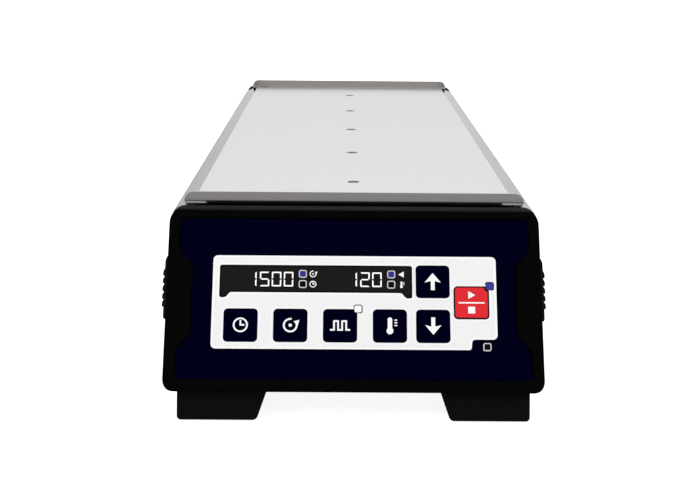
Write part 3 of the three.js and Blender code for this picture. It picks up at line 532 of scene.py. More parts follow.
satinGrain = {"size": 0.5, "stretch": (1, 40, 1), "detail": 3, "cloud": 45, "gloss": (0.31, 0.33),
              "depth": 0.001, "strength": 1.0, "Metallic": 1.0}
velvetFace = {"size": 0.6, "depth": 0.006}
zincPlating = {"size": 7, "gloss": (0.32, 0.46), "Metallic": 1.0}
finishes = {
    # stainless sheet with a long satin grain: a broad soft shine that runs from bench to rear
    "steel": newFinish("satin stainless steel", "#e4e4e4", 0.32, ("#e0e0e0", "#e9e9e9"), **satinGrain),
    # the same satin steel with darker, warmer tones: painted shade for the rear upstand's front face
    "paintedShadeSteel": newFinish("satin stainless across the grain", "#e4e4e4", 0.32, ("#c9c5c2", "#d1cdca"),
                        **satinGrain),
    # etched mark: the same steel, darker and without shine
    "mark": newFinish("etched steel", "#7d7b78", 0.6, ("#74726f", "#86847f"), 0.8, Metallic=0.6),
    # ABS from a spark-eroded mould: near black, with a fine even texture that breaks up the shine
    "abs": newFinish("spark textured ABS", "#060606", 0.5, ("#020202", "#050505"), 0.7, gloss=(0.45, 0.58),
                     depth=0.02, specular=0.03),
    # the bevel above the face is smoother than the rest and catches a thin band of light
    "brow": newFinish("smooth ABS", "#080808", 0.42, ("#070707", "#0a0a0a"), 2.5, specular=0.11),
    # the feet are the same plastic with a coarser texture, which leaves them a shade lighter
    "foot": newFinish("coarse textured ABS", "#0d0d0d", 0.6, ("#0a0a0a", "#0f0f0f"), 1.0, depth=0.03,
                      specular=0.06),
    # moulded rubber: dead black and soft at the edges
    "rubber": newFinish("matt moulded rubber", "#070707", 0.62, ("#050505", "#090909"), 1.2, depth=0.02,
                        strength=0.4, specular=0.16),
    # printed polyester overlay with a velvet face: deep navy and hardly any glare
    "navy": newFinish("velvet polyester overlay", "#000018", 0.42, ("#000016", "#00001a"), **velvetFace,
                      specular=0.01),
    # screen printed white under the velvet face: flat white with a trace of mesh
    "white": newFinish("white screen print", "#f6f6f6", 0.5, ("#f2f2f2", "#f6f6f6"), specular=0.1),
    "brightWhite": newFinish("bright white screen print", "#ffffff", 0.5, ("#fcfcfc", "#ffffff"),
                             specular=0.1),
    # smoked acrylic pane: dark and clear, with a sharper shine than the film round it
    "smoke": newFinish("smoked acrylic", "#1b1818", 0.18, ("#1a1717", "#1c1919"), 6, specular=0.08),
    # black print round the pane and the red key
    "black": newFinish("black screen print", "#050505", 0.5, ("#040404", "#070707"), specular=0.1),
    # red printed overlay over a snap dome
    "red": newFinish("red polyester overlay", "#e32b33", 0.45, ("#e02930", "#e62d36"), **velvetFace,
                     specular=0.12),
    "blueLamp": litWindow("blue lamp window", "#2b2d8c", 0.1),
    "smokedLamp": litWindow("blue lamp behind smoke", "#20227f", 0.1),
    "digits": litWindow("white display segments", "#f4f4f2", 0.3),
    # light grey print of the lamp rings
    "greyPrint": newFinish("light grey screen print", "#d4d4d8", 0.5, ("#cfcfd3", "#d9d9dd"),
                           specular=0.1),
    # powder coated steel: orange-peel ripple, dark grey
    "powder": newFinish("black powder coat", "#141516", 0.5, ("#121314", "#171819"), 1.6, depth=0.05,
                        specular=0.35),
    # zinc plating: grey metal with cloudy patches
    "zinc": newFinish("zinc plated steel", "#a3a5a8", 0.38, ("#85878a", "#a3a5a8"), **zincPlating),
    "screw": newFinish("zinc plated screw", "#7b7d80", 0.38, ("#5f6164", "#7b7d80"), **zincPlating),
    # glass filled nylon of the mains module: black with a faint fleck
    "nylon": newFinish("glass filled nylon", "#0d0d0e", 0.35, ("#0b0b0c", "#131314"), 0.9, gloss=(0.3, 0.42),
                       specular=0.35),
    # bright nickel of pins and magnets: a warm mirror with faint clouds
    "nickel": newFinish("bright nickel plating", "#b9b4ab", 0.2, size=4, gloss=(0.15, 0.28), Metallic=1.0),
    # heater mat: red-brown silicone with the weave of its glass cloth showing through
    "silicone": newFinish("glass reinforced silicone", "#a8452c", 0.6, ("#9c3f28", "#b24b31"), 1.0, detail=1,
                          depth=0.05),
    # pressed mineral fibre: off-white and dusty
    "mineral": newFinish("pressed mineral fibre", "#d8d2c4", 0.95, ("#cbc4b4", "#e2ddd1"), 1.5, (1, 4, 1), 4,
                         depth=0.1, strength=0.6),
    # circuit board under green solder mask
    "board": newFinish("green solder mask", "#1d5a33", 0.3, ("#184f2c", "#236a3d"), 5, (1, 3, 1)),
    # turned aluminium: fine rings left by the tool
    "aluminium": newFinish("turned aluminium", "#c3c5c7", 0.32, size=0.6, stretch=(1, 1, 30),
                           gloss=(0.26, 0.4), Metallic=1.0),
    # moulded case of the display: plain dark grey
    "case": newFinish("moulded grey polycarbonate", "#2b2b2d", 0.45, ("#272729", "#303032"), 1.2),
}
print("finishes made:", len(finishes))

addCamera()
addLamps()
addRoom()
print("camera, lamps and room set")


# Top plate: folded sheet with sloping shoulders, skirts and an upstand bent up at each end

sheet = {
    "thickness": 1.2,
    "flatWidth": 182.0,
    "shoulderDrop": 4.2,
    "sideBend": 1.7,  # run of the bend along the sheet
    "upstandWidth": 190.6,
    "frontBend": 1.8,
    "rearBend": 0.3,
    "bendSteps": 6,
    "upstandCorner": 5.4,
    "cornerSteps": 8,
    "reliefWidth": 4.4,
    "frontRelief": 18.0,
    "rearRelief": 46.0,
    "edge": 0.25,
    "smooth": 19,  # degrees: a sharper bend keeps its edge
    "markDiameter": 7.4,
    "markDepth": 0.4,
    "screwHole": 3.6,
    "upstandFrom": 3.0,  # above the plate, where only the upstands are
}
wedges = {  # tops: outer front, outer rear, inner front and inner rear corner, from the top of the plate
    "front_tongue": {"length": 11.6, "start": -3.2, "stop": 1, "base": -1.8,
                     "tops": (-1.6, -1.45, -1.7, -1.7)},
    "rear_weld": {"length": 14.5, "start": -2.9, "stop": 0, "base": -0.8, "tops": (0, 1.2, 0, 0)},
}
wedgeBlock = 9.0  # height of the block that a wedge is made from
drill = {"reach": 20, "sides": 24}


def endWedge(name, side, y):
    # steel wedge that tapers in from one end of an upstand
    shape = wedges[name]
    outer = side * sheet["upstandWidth"] / 2
    inner = outer - side * shape["length"]
    rims = (y + shape["start"], y + shape["stop"])
    top = bodyTop + wedgeBlock
    piece = addBox(name, (min(outer, inner), rims[0], bodyTop + shape["base"]),
                   (max(outer, inner), rims[1], top))
    corners = [(x, rim) for x in (outer, inner) for rim in rims]
    for (x, rim), level in zip(corners, shape["tops"]):
        shift(piece, "verts", lambda v: near(v.co.z, top) and near(v.co.x, x) and near(v.co.y, rim),
              (0, 0, level - wedgeBlock))
    return finishPiece(piece, ["steel"])


def drillScrewHoles(piece, diameter):
    for index in range(1, 5):
        low, high = boxOf(f"cover_screw_{index}")
        at, reach = (low + high) / 2, Vector((drill["reach"], 0, 0))
        cut(piece, addRod("tool", diameter / 2, at - reach, at + reach, drill["sides"]))


def topSheet():
    low, high = boxOf("top_plate")
    flat = sheet["flatWidth"] / 2
    thick = sheet["thickness"]
    piece = addBox("top_sheet", low, (half, high.y, bodyTop))
    drop(piece, lambda f: f.normal.z < -0.5 or abs(f.normal.y) > 0.5)
    for side in (-1, 1):
        slicePiece(piece, (side * flat, 0, 0), (1, 0, 0))
    shift(piece, "verts", lambda v: abs(v.co.x) > half - tiny and v.co.z > bodyTop - tiny,
          (0, 0, -sheet["shoulderDrop"]))
    roundEdges(piece, ends(lambda c: abs(c.x) > half - tiny and c.z > low.z + tiny),
               sheet["sideBend"], sheet["bendSteps"])
    for name, end, inward in (("front", low.y, 1), ("rear", high.y, -1)):
        bend = sheet[name + "Bend"]
        line = end + inward * (thick + bend)
        root, inner = bodyTop + bend, end + inward * thick
        slicePiece(piece, (0, line, 0), (0, 1, 0))
        drop(piece, lambda f: f.normal.z > 0.99 and abs(f.calc_center_median().y - end) < thick + bend)
        pick(piece, "edges", ends(lambda c: near(c.y, line) and abs(c.x) < flat + tiny
                                  and c.z > bodyTop - tiny))
        bpy.ops.mesh.spin(steps=sheet["bendSteps"], angle=inward * math.pi / 2, center=(0, line, root),
                          axis=(1, 0, 0))
        openRelief(piece, end, inward, line, sheet[name + "Relief"])
        pull(piece, "edges", ends(lambda c: near(c.z, root) and near(c.y, inner)),
             (0, 0, high.z - root))
        for side in (-1, 1):
            pull(piece, "edges", ends(lambda c: near(c.x, side * flat) and c.z > bodyTop - tiny
                                      and (c.y - line) * inward < tiny),
                 (side * (sheet["upstandWidth"] / 2 - flat), 0, 0))
    merged(piece)
    pick(piece, "verts", lambda v: abs(v.co.x) < flat + 1 and v.co.z > high.z - tiny)
    bpy.ops.mesh.dissolve_verts()
    roundCorners(piece, lambda v: v.co.z > high.z - tiny, sheet["upstandCorner"], sheet["cornerSteps"])
    faceOutward(piece)
    leaveEdit()
    if max(piece.data.polygons, key=lambda f: f.area).normal.z < 0:
        pick(piece, "faces", everything)
        bpy.ops.mesh.flip_normals()
    thicken(piece, thick)
    roundEdges(piece, lambda e: both(e, lambda c: c.z > bodyTop + sheet["upstandFrom"])
               and e.calc_face_angle() > 1 and e.calc_length() > tiny, sheet["edge"])
    markFloor = bodyTop - sheet["markDepth"]
    for index in range(1, 6):
        y = sum(corner.y for corner in boxOf(f"drive_magnet_{index}")) / 2
        cut(piece, addRod("tool", sheet["markDiameter"] / 2, (0, y, markFloor), (0, y, bodyTop + past)))
    drillScrewHoles(piece, sheet["screwHole"])
    paint(piece, 1, lambda f: near(f.center.z, markFloor) and abs(f.center.x) < sheet["markDiameter"])
    # the rear upstand's front face gets the darker, warmer copy of the steel: painted shade
    paint(piece, 2, lambda f: f.normal.y < -0.9 and f.center.y > high.y - 3 and f.center.z > bodyTop)
    return finishPiece(piece, ["steel", "mark", "paintedShadeSteel"], ["top_plate"],
                       smooth=sheet["smooth"])


def openRelief(piece, end, inward, line, length):
    # the shoulder leaves the plate along a slanted line, so that the upstand can be bent up beside it
    flat = sheet["flatWidth"] / 2
    stop = end + inward * length
    slicePiece(piece, (0, stop, 0), (0, 1, 0))
    pick(piece, "edges", lambda e: not runsAlong(e, "x") and both(
        e, lambda c: near(abs(c.x), flat) and min(line, stop) - tiny < c.y < max(line, stop) + tiny))
    bpy.ops.mesh.edge_split(type="EDGE")
    for side in (-1, 1):
        for y in (line, end):
            out = sheet["reliefWidth"] * (1 - abs(y - end) / length)
            fall = out * sheet["shoulderDrop"] / (half - flat)
            shift(piece, "verts", lambda v: near(v.co.x, side * flat) and near(v.co.y, y) and
                  all(abs(f.calc_center_median().x) > flat for f in v.link_faces), (side * out, 0, -fall))


topSheet()
plateLow, plateHigh = boxOf("top_plate")
for side in (-1, 1):
    endWedge("front_tongue", side, plateLow.y)
    endWedge("rear_weld", side, plateHigh.y - sheet["thickness"])
print("top plate made")


# Collars that run from each end moulding into the body

def collar(start, end):
    low = (-half + console["collarSide"], start, bodyBottom + console["collarFloor"])
    high = (half - console["collarSide"], end, bodyTop - console["collarTop"])
    piece = addBox("collar", low, high)
    roundEdges(piece, lambda e: runsAlong(e, "y"), console["collarRadius"], 8)
    drop(piece, lambda f: abs(f.normal.y) > 0.5)
    thicken(piece, console["collarWall"])
    return piece


def rimmedBox(name, start, end, inset):
    # end moulding seen from the front: a box with its four long corners rounded
    wide = half + console["proud"] - inset
    low, high = bodyBottom - console["drop"] + inset, bodyTop - console["topDrop"] - inset
    piece = addBox(name, (-wide, start, low), (wide, end, high))
    for level, radius in zip((low, high), console["cornerRadii"]):
        roundEdges(piece, lambda e: runsAlong(e, "y") and both(e, lambda c: near(c.z, level)),
                   radius - inset / 2, 8)
    return piece


# Openings of the control face: keys, lamps and window

keyNodes = ["key_time", "key_speed", "key_pulse", "key_temperature", "key_up", "key_down", "key_start_stop"]
lampNodes = ["lamp_speed", "lamp_minutes", "lamp_set", "lamp_actual", "lamp_pulse", "lamp_run", "lamp_hot"]
keyCap = {"flange": 0.7, "flangeThickness": 0.8, "radius": 2.1, "edge": 0.3, "lampRoom": 0.6, "clear": 0.2,
          "outline": 0.35, "faceArea": 100}
lampWindow = {"radius": 1.1, "ring": 0.55, "thinRing": 0.3, "sink": 0.08, "leastArea": 2}
pane = {"radius": 1.3, "earRadius": 0.6, "trim": 0.45, "ear": 3.0, "earWidth": 2.9, "earSlant": 2.3,
        "border": 0.6}
film = {"radius": 2.2, "bendRadius": 1.6, "trim": 0.6, "waistDepth": 7.7, "waistLift": 25.0,
        "waistDrop": 26.6, "waistSlant": 8.9}
label = {"radius": 2.5, "trimLeft": 0.5, "trimBottom": 0.5, "notchWidth": 14.3, "notchHeight": 6.3,
         "notchSlant": 0.6, "notchRadii": (1.2, 1.8), "border": 1.1, "proud": 0.02}


def keyBox(node):
    low, high = faceBox(node)
    flange = Vector((keyCap["flange"], keyCap["flange"], 0))
    return low + flange, high - flange


def roundedFlat(name, low, high, radius, grow=0.0):
    piece = addFlat(name, (low[0] - grow, low[1] - grow), (high[0] + grow, high[1] + grow))
    roundCorners(piece, everything, radius + grow)
    leaveEdit()
    return piece


def paneFlat(grow=0.0):
    low, high = faceBox("display_window")
    left, right, top = low.x - grow, high.x + grow, high.y + grow
    bottom = low.y + pane["trim"] + pane["ear"] - grow
    wide = pane["earWidth"] + pane["earSlant"] + 2 * grow
    piece = addFlat("pane", (left, bottom), (right, top))
    for x in (left + wide, right - wide):
        slicePiece(piece, (x, 0, 0), (1, 0, 0))
    pull(piece, "edges", lambda e: both(e, lambda c: c.y < bottom + tiny) and (
        both(e, lambda c: c.x < left + wide + tiny) or both(e, lambda c: c.x > right - wide - tiny)),
        (0, -pane["ear"], 0))
    for x, way in ((left + wide, -1), (right - wide, 1)):
        shift(piece, "verts", lambda v: v.co.y < bottom - 1 and near(v.co.x, x),
              (way * pane["earSlant"], 0, 0))
    merged(piece)
    roundCorners(piece, lambda v: near(v.co.y, bottom), pane["earRadius"], 3)
    roundCorners(piece, lambda v: abs(v.co.y - bottom) > 2, pane["radius"])
    leaveEdit()
    return piece


def filmFlat(grow=0.0):
    low, high = faceBox("panel_film")
    wide = high.x + grow
    waist = wide - film["waistDepth"]
    start, stop = low.y + film["waistLift"], high.y - film["waistDrop"]
    levels = [(start - film["waistSlant"], wide), (start, waist), (stop, waist),
              (stop + film["waistSlant"], wide), (high.y + grow, wide)]
    bottom = low.y + film["trim"] - grow
    piece = addFlat("film", (-wide, bottom), (wide, levels[0][0]))
    for (under, widthUnder), (over, widthOver) in zip(levels, levels[1:]):
        pull(piece, "edges", ends(lambda c: near(c.y, under)), (0, over - under, 0))
        bpy.ops.transform.resize(value=(widthOver / widthUnder, 1, 1), center_override=(0, over, 0))
    merged(piece)
    rims = (bottom, high.y + grow)
    bends = [level for level, width in levels[:4]]
    for heights, radius in ((rims, film["radius"]), (bends, film["bendRadius"])):
        roundCorners(piece, lambda v: any(near(v.co.y, height) for height in heights), radius)
    leaveEdit()
    return piece


def labelFlat():
    low, high = faceBox("control_label")
    low += Vector((label["trimLeft"], label["trimBottom"], 0))
    step = low.y + label["notchHeight"] - label["trimBottom"]
    across = high.x - label["notchWidth"] + label["notchSlant"]
    piece = addFlat("label", (low.x, step), (high.x, high.y))
    slicePiece(piece, (across, 0, 0), (1, 0, 0))
    pull(piece, "edges", ends(lambda c: c.y < step + tiny and c.x < across + tiny),
         (0, low.y - step, 0))
    shift(piece, "verts", lambda v: v.co.y < low.y + tiny and v.co.x > across - tiny,
          (-label["notchSlant"], 0, 0))
    merged(piece)
    outside, inside = label["notchRadii"]
    roundCorners(piece, lambda v: v.co.y < low.y + tiny and v.co.x > low.x + 1, outside)
    roundCorners(piece, lambda v: near(v.co.y, step) and v.co.x < high.x - 1, inside)
    roundCorners(piece, lambda v: near(v.co.x, low.x) or near(v.co.x, high.x), label["radius"])
    leaveEdit()
    return piece


def openingTools(low, high):
    tools = []
    for node in keyNodes:
        corner, other = keyBox(node)
        tools.append(roundedFlat("tool", corner, other, keyCap["radius"], keyCap["clear"]))
    for node in lampNodes:
        corner, other = faceBox(node)
        tools.append(roundedFlat("tool", corner, other, lampWindow["radius"], gap))
    tools.append(paneFlat(gap))
    return [rise(tool, low, high) for tool in tools]


# Front bezel: hollow wedge with its pocket, collar and board posts

def wedge(name, inset, back, faceInset):
    piece = rimmedBox(name, noseY - console["wall"], back, inset)
    point = Vector((0, noseY, bodyBottom + console["noseHeight"])) - faceNormal * faceInset
    slicePiece(piece, point, faceNormal, clear=True)
    if not inset:
        brow = math.radians(console["browAngle"])
        slicePiece(piece, (0, consoleBack - console["brow"], bodyTop - console["topDrop"]),
                   (0, -math.sin(brow), math.cos(brow)), clear=True)
        roundEdges(piece, ends(lambda c: near(onFace(c).z, 0)), console["faceEdge"])
        slicePiece(piece, (0, noseY, 0), (0, -1, 0), clear=True)
    leaveEdit()
    return piece


def frontBezel():
    thickFace = console["pocketDepth"] + console["pocketFloor"]
    piece = wedge("bezel", 0, consoleBack, 0)
    cut(piece, wedge("tool", console["wall"], consoleBack + past, thickFace))
    cut(piece, collar(consoleBack - console["collarRoot"], bezelHigh.y), "UNION")
    pocket = rise(filmFlat(gap), -console["pocketDepth"], 3)
    for tool in [pocket, *openingTools(-thickFace - 2, 3)]:
        tool.matrix_world = facePlace
        cut(piece, tool)
    side = console["pocketSide"]
    roundEdges(piece, ends(lambda c: near(onFace(c).z, 0) and abs(c.x) < half - side
                           and side < onFace(c).y < console["pocketTop"]), console["pocketEdge"], 3)
    low, high = faceBox("control_board")
    inset, back = console["postInset"], -thickFace - console["postLength"]
    for x in (low.x + inset, high.x - inset):
        for s in (low.y + inset, high.y - inset):
            post = addRod("post", console["postRadius"], (x, s, back), (x, s, -thickFace + gap), 24)
            post.matrix_world = facePlace
            cut(piece, post, "UNION")
    bevelFoot = bodyTop - console["topDrop"] - console["browFall"]
    paint(piece, 1, lambda f: 0.6 < f.normal.z < 0.99 and f.center.z > bevelFoot and f.center.y < consoleBack)
    return finishPiece(piece, ["abs", "brow"], ["front_bezel"])


frontBezel()
print("front bezel made")


# Rear cap: shallow tray with its collar and the opening of the mains module

cap = {"edge": 1.6, "inletSeat": 2.8, "lipSide": 2.2, "lipEnd": 3.7}  # the mains module rests on a lip


def rearCap():
    low, high = boxOf("rear_cap")
    inletLow, inletHigh = boxOf("power_inlet")
    capFront = low.y + console["collarLength"]
    piece = rimmedBox("cap", capFront, high.y, 0)
    roundEdges(piece, ends(lambda c: c.y > high.y - tiny), cap["edge"])
    cut(piece, rimmedBox("tool", capFront - past, high.y - console["wall"], console["wall"]))
    for start, side, end in ((inletHigh.y - cap["inletSeat"], -gap, -gap),
                             (capFront - past, cap["lipSide"], cap["lipEnd"])):
        cut(piece, addBox("tool", (inletLow.x + side, start, inletLow.z + end),
                          (inletHigh.x - side, high.y + past, inletHigh.z - end)))
    cut(piece, collar(low.y, capFront + console["collarRoot"]), "UNION")
    paint(piece, 1, lambda f: f.normal.y > 0.2)
    return finishPiece(piece, ["abs", "brow"], ["rear_cap"])


rearCap()
print("rear cap made")


# Base pan: folded and painted, with vent slots in both walls

pan = {
    "thickness": 1.2,
    "bend": 1.8,
    "ventWidth": 3.2,
    "ventHeight": 26.0,
    "ventLift": 14.0,
    "ventPitch": 9.0,
    "ventCount": 16,
    "ventEnd": 58.0,
    "ventRound": 0.49,  # of the width of a vent
    "hole": 3.6,
}


def basePan():
    low, high = boxOf("base_pan")
    piece = addBox("pan", low, high)
    drop(piece, lambda f: f.normal.z > 0.5 or abs(f.normal.y) > 0.5)
    roundEdges(piece, lambda e: both(e, lambda c: c.z < low.z + tiny) and runsAlong(e, "y"), pan["bend"], 5)
    thicken(piece, pan["thickness"])
    bottom = low.z + pan["thickness"] + pan["ventLift"]
    wide = pan["ventWidth"] / 2
    for index in range(pan["ventCount"]):
        front = index < pan["ventCount"] / 2
        step = (index if front else pan["ventCount"] - 1 - index) * pan["ventPitch"]
        y = low.y + pan["ventEnd"] + step if front else high.y - pan["ventEnd"] - step
        tool = addBox("tool", (-half, y - wide, bottom), (half, y + wide, bottom + pan["ventHeight"]))
        roundEdges(tool, lambda e: runsAlong(e, "x"), pan["ventWidth"] * pan["ventRound"], 5)
        cut(piece, tool)
    drillScrewHoles(piece, pan["hole"])
    return finishPiece(piece, ["powder"], ["base_pan"])


basePan()
print("base pan made")


# Overlay: navy film, white label, smoked pane

def overlaySheet(node, piece, look):
    low, high = faceBox(node)
    rise(piece, low.z, high.z)
    for tool in openingTools(low.z - past, high.z + past):
        cut(piece, tool)
    finishPiece(piece, [look], [node], place=facePlace)


def hollowOut(piece, width):
    # leaves a band along the rim of a flat piece
    pick(piece, "faces", everything)
    bpy.ops.mesh.inset(thickness=width)
    bpy.ops.mesh.delete(type="FACE")
    leaveEdit()
    return piece


def labelBorders():
    level = faceBox("control_label")[1].z
    bands = [hollowOut(labelFlat(), label["border"])]
    for node in keyNodes:
        corner, other = keyBox(node)
        bands.append(hollowOut(roundedFlat("band", corner, other, keyCap["radius"],
                                           keyCap["clear"] + label["border"]), label["border"]))
    bands.append(hollowOut(paneFlat(gap + label["border"]), label["border"]))
    for band in bands:
        rise(band, level, level + label["proud"])
    finishPiece(joined("label_borders", bands), ["brightWhite"], place=facePlace)


def displayPane():
    low, high = faceBox("display_window")
    piece = rise(paneFlat(), low.z, high.z)
    for node in lampNodes[:4]:
        corner, other = faceBox(node)
        cut(piece, rise(roundedFlat("tool", corner, other, lampWindow["radius"], gap),
                        low.z - past, high.z + past))
    rim = rise(hollowOut(paneFlat(), pane["border"]), high.z, high.z + label["proud"])
    finishPiece(rim, ["black"], place=facePlace).name = "pane_border"
    return finishPiece(piece, ["smoke"], ["display_window"], place=facePlace)


overlaySheet("panel_film", filmFlat(), "navy")
overlaySheet("control_label", labelFlat(), "white")
labelBorders()
displayPane()
print("overlay made")


# Display digits: seven segments with mitred ends

display = {
    "digitWidth": 5.2,
    "digitHeight": 8.3,
    "stroke": 0.76,
    "oneShift": 0.45,  # the figure one stands a little further left in its cell
    "mitre": 0.8,
    "split": 0.2,
    "pitch": 6.55,
    "top": 3.6,  # below the upper edge of the pane
    "proud": 0.03,
    "groups": [("1500", 40.0), ("120", 88.4)],  # digits, and their right end from the left end of the pane
}
segmentsOf = {"0": "abcdef", "1": "bc", "2": "abged", "5": "afgcd"}


def segment(length, pointed):
    # lies along x with its outer edge up, or is pointed at both ends
    stroke, mitre = display["stroke"], display["stroke"] * display["mitre"]
    part = addFlat("segment", (-length / 2, -stroke / 2), (length / 2, stroke / 2))
    if pointed:
        slicePiece(part, (0, 0, 0), (0, 1, 0))
    pick(part, "verts", lambda v: v.co.y < -tiny or (pointed and v.co.y > tiny))
    drawn = 1 - (1 if pointed else 2) * mitre / length
    bpy.ops.transform.resize(value=(drawn, 1, 1), center_override=(0, 0, 0))
    leaveEdit()
    return part


def digit(character, right, bottom):
    stroke, split = display["stroke"], display["split"]
    wide, high = display["digitWidth"], display["digitHeight"]
    middle = Vector((right - wide / 2, bottom + high / 2))
    upright = high / 2 - split
    side, end = wide / 2 - stroke / 2, high / 2 - stroke / 2
    layout = {  # middle of the segment, its turn, its length, pointed at both ends
        "a": ((0, end), 0, wide - 2 * split, False),
        "b": ((side, high / 4), -90, upright, False),
        "c": ((side, -high / 4), -90, upright, False),
        "d": ((0, -end), 180, wide - 2 * split, False),
        "e": ((-side, -high / 4), 90, upright, False),
        "f": ((-side, high / 4), 90, upright, False),
        "g": ((0, 0), 0, wide - stroke - 2 * split, True),
    }
    parts = []
    for letter in segmentsOf[character]:
        offset, turn, length, pointed = layout[letter]
        parts.append(settle(segment(length, pointed), flatPlace(middle + Vector(offset), turn)))
    return parts


def displayDigits():
    low, high = faceBox("display_window")
    parts = []
    for text, end in display["groups"]:
        for place, character in enumerate(reversed(text)):
            left = display["oneShift"] if character == "1" else 0
            parts += digit(character, low.x + end - place * display["pitch"] - left,
                           high.y - display["top"] - display["digitHeight"])
    piece = rise(joined("display_digits", parts), high.z, high.z + display["proud"])
    return finishPiece(piece, ["digits"], place=facePlace)


displayDigits()
print("digits made")


# Ink pictograms on the keys and beside the lamps

ink = {"thickness": 0.04, "step": 0.004}


def inkBar(start, end, width):
    start, end = Vector(start), Vector(end)
    run = end - start
    part = addFlat("ink", (-run.length / 2, -width / 2), (run.length / 2, width / 2))
    return settle(part, flatPlace((start + end) / 2, math.degrees(math.atan2(run.y, run.x))))


def inkHead(tip, turn, length, width, notch=0.0):
    # arrow head that points along turn, in degrees from +x
    part = addFlat("ink", (-length, -width / 2), (0, width / 2))
    pick(part, "verts", lambda v: v.co.x > -tiny)
    bpy.ops.mesh.merge(type="CENTER")
    if notch:
        pick(part, "edges", ends(lambda c: c.x < -length + tiny))
        bpy.ops.mesh.subdivide(number_cuts=1)
        shift(part, "verts", lambda v: v.co.x < -length + tiny and near(v.co.y, 0), (notch, 0, 0))
    return settle(part, flatPlace(tip, turn))


def inkRing(middle, radius, width):
    return hollowOut(addDisc("ink", middle, radius), width)


def inkArc(middle, radius, width, openFrom, openTo):
    # ring with a gap between two angles, in degrees
    part = inkRing(middle, radius, width)

    def inGap(face):
        spoke = face.calc_center_median() - Vector((*middle, 0))
        return openFrom < math.degrees(math.atan2(spoke.y, spoke.x)) % 360 < openTo

    drop(part, inGap)
    leaveEdit()
    return part


# Shares of a sign's size, or of its line where it says so
signShares = {
    "minuteHand": 0.32,
    "hourHand": 0.26,
    "turnGap": (20, 80),  # degrees
    "turnHead": (0.36, 0.42),
    "turnHeadAt": (1.02, 0.2),  # of the radius, and of the line
    "turnHeadAngle": -75,
    "turnDot": 0.95,  # of the line
    "pulseSwing": 0.22,
    "bulb": 0.2,
    "tube": 0.13,
    "tick": 0.16,
    "tickLine": 0.8,  # of the line
    "tickHeights": (0.02, 0.18, 0.34),
    "arrowHead": (0.56, 0.92, 0.12),
    "arrowNeck": 0.1,
    "arrowShaft": 0.22,
}
arrowSize = 9.7
startStop = {"triangle": (3.8, 4.4), "triangleTip": (2.1, 4.2), "square": 1.9, "squareFall": 4.2, "bar": 7.1,
             "barFall": 0.15}


def clockSign(x, s, size, line):
    return [
        inkRing((x, s), size / 2, line),
        inkBar((x, s - line / 2), (x, s + size * signShares["minuteHand"]), line),
        inkBar((x, s), (x + size * signShares["hourHand"], s), line),
    ]


def turnSign(x, s, size, line):
    radius = size / 2
    out, fall = signShares["turnHeadAt"]
    length, width = signShares["turnHead"]
    return [
        inkArc((x, s), radius, line, *signShares["turnGap"]),
        inkHead((x + radius * out, s - line * fall), signShares["turnHeadAngle"],
                size * length, size * width),
        addDisc("ink", (x, s), line * signShares["turnDot"]),
    ]


def pulseSign(x, s, size, line):
    step, swing = size / 5, size * signShares["pulseSwing"]
    parts = []
    for index, level in enumerate((-1, 1, -1, 1, -1)):
        left = x - size / 2 + index * step
        parts.append(inkBar((left, s + level * swing), (left + step, s + level * swing), line))
        if index:
            parts.append(inkBar((left, s - swing - line / 2), (left, s + swing + line / 2), line))
    return parts


def heatSign(x, s, size, line):
    bulb, tube = size * signShares["bulb"], size * signShares["tube"]
    low, top = s - size / 2 + bulb, s + size / 2 - tube
    left, right = x + tube * 2, x + tube * 2 + size * signShares["tick"]
    heights = [s + size * share for share in signShares["tickHeights"]]
    return [
        addDisc("ink", (x, low), bulb),
        inkBar((x, low), (x, top), 2 * tube),
        addDisc("ink", (x, top), tube),
        *[inkBar((left, level), (right, level), line * signShares["tickLine"]) for level in heights],
    ]


def arrowSign(x, s, way):
    length, width, notch = (arrowSize * share for share in signShares["arrowHead"])
    return [
        inkHead((x, s + way * arrowSize / 2), way * 90, length, width, notch),
        inkBar((x, s + way * arrowSize * signShares["arrowNeck"]), (x, s - way * arrowSize / 2),
               arrowSize * signShares["arrowShaft"]),
    ]


def startStopSign(x, s, line):
    right, up = startStop["triangleTip"]
    side, middle = startStop["square"], s - startStop["squareFall"]
    reach, level = startStop["bar"], s - startStop["barFall"]
    return [
        inkBar((x - reach, level), (x + reach, level), line),
        inkHead((x + right, s + up), 0, *startStop["triangle"]),
        addFlat("ink", (x - side, middle - side), (x + side, middle + side)),
    ]


def printInk(name, parts, level, body):
    for index, part in enumerate(parts):
        rise(part, level, level + ink["thickness"] + index * ink["step"])
    return finishPiece(joined(name, parts), ["brightWhite"], body=body, place=facePlace)


# Keys: overlay caps with a flange behind the face

keySigns = {  # sign with its size and line, or with the way it points
    "key_time": (clockSign, 8.2, 0.95),
    "key_speed": (turnSign, 8.0, 1.0),
    "key_pulse": (pulseSign, 11.0, 0.95),
    "key_temperature": (heatSign, 9.4, 0.85),
    "key_up": (arrowSign, 1),
    "key_down": (arrowSign, -1),
    "key_start_stop": (startStopSign, 0.8),
}
keyLamps = {"key_pulse": "lamp_pulse", "key_start_stop": "lamp_run"}  # each in a notch of its key's corner


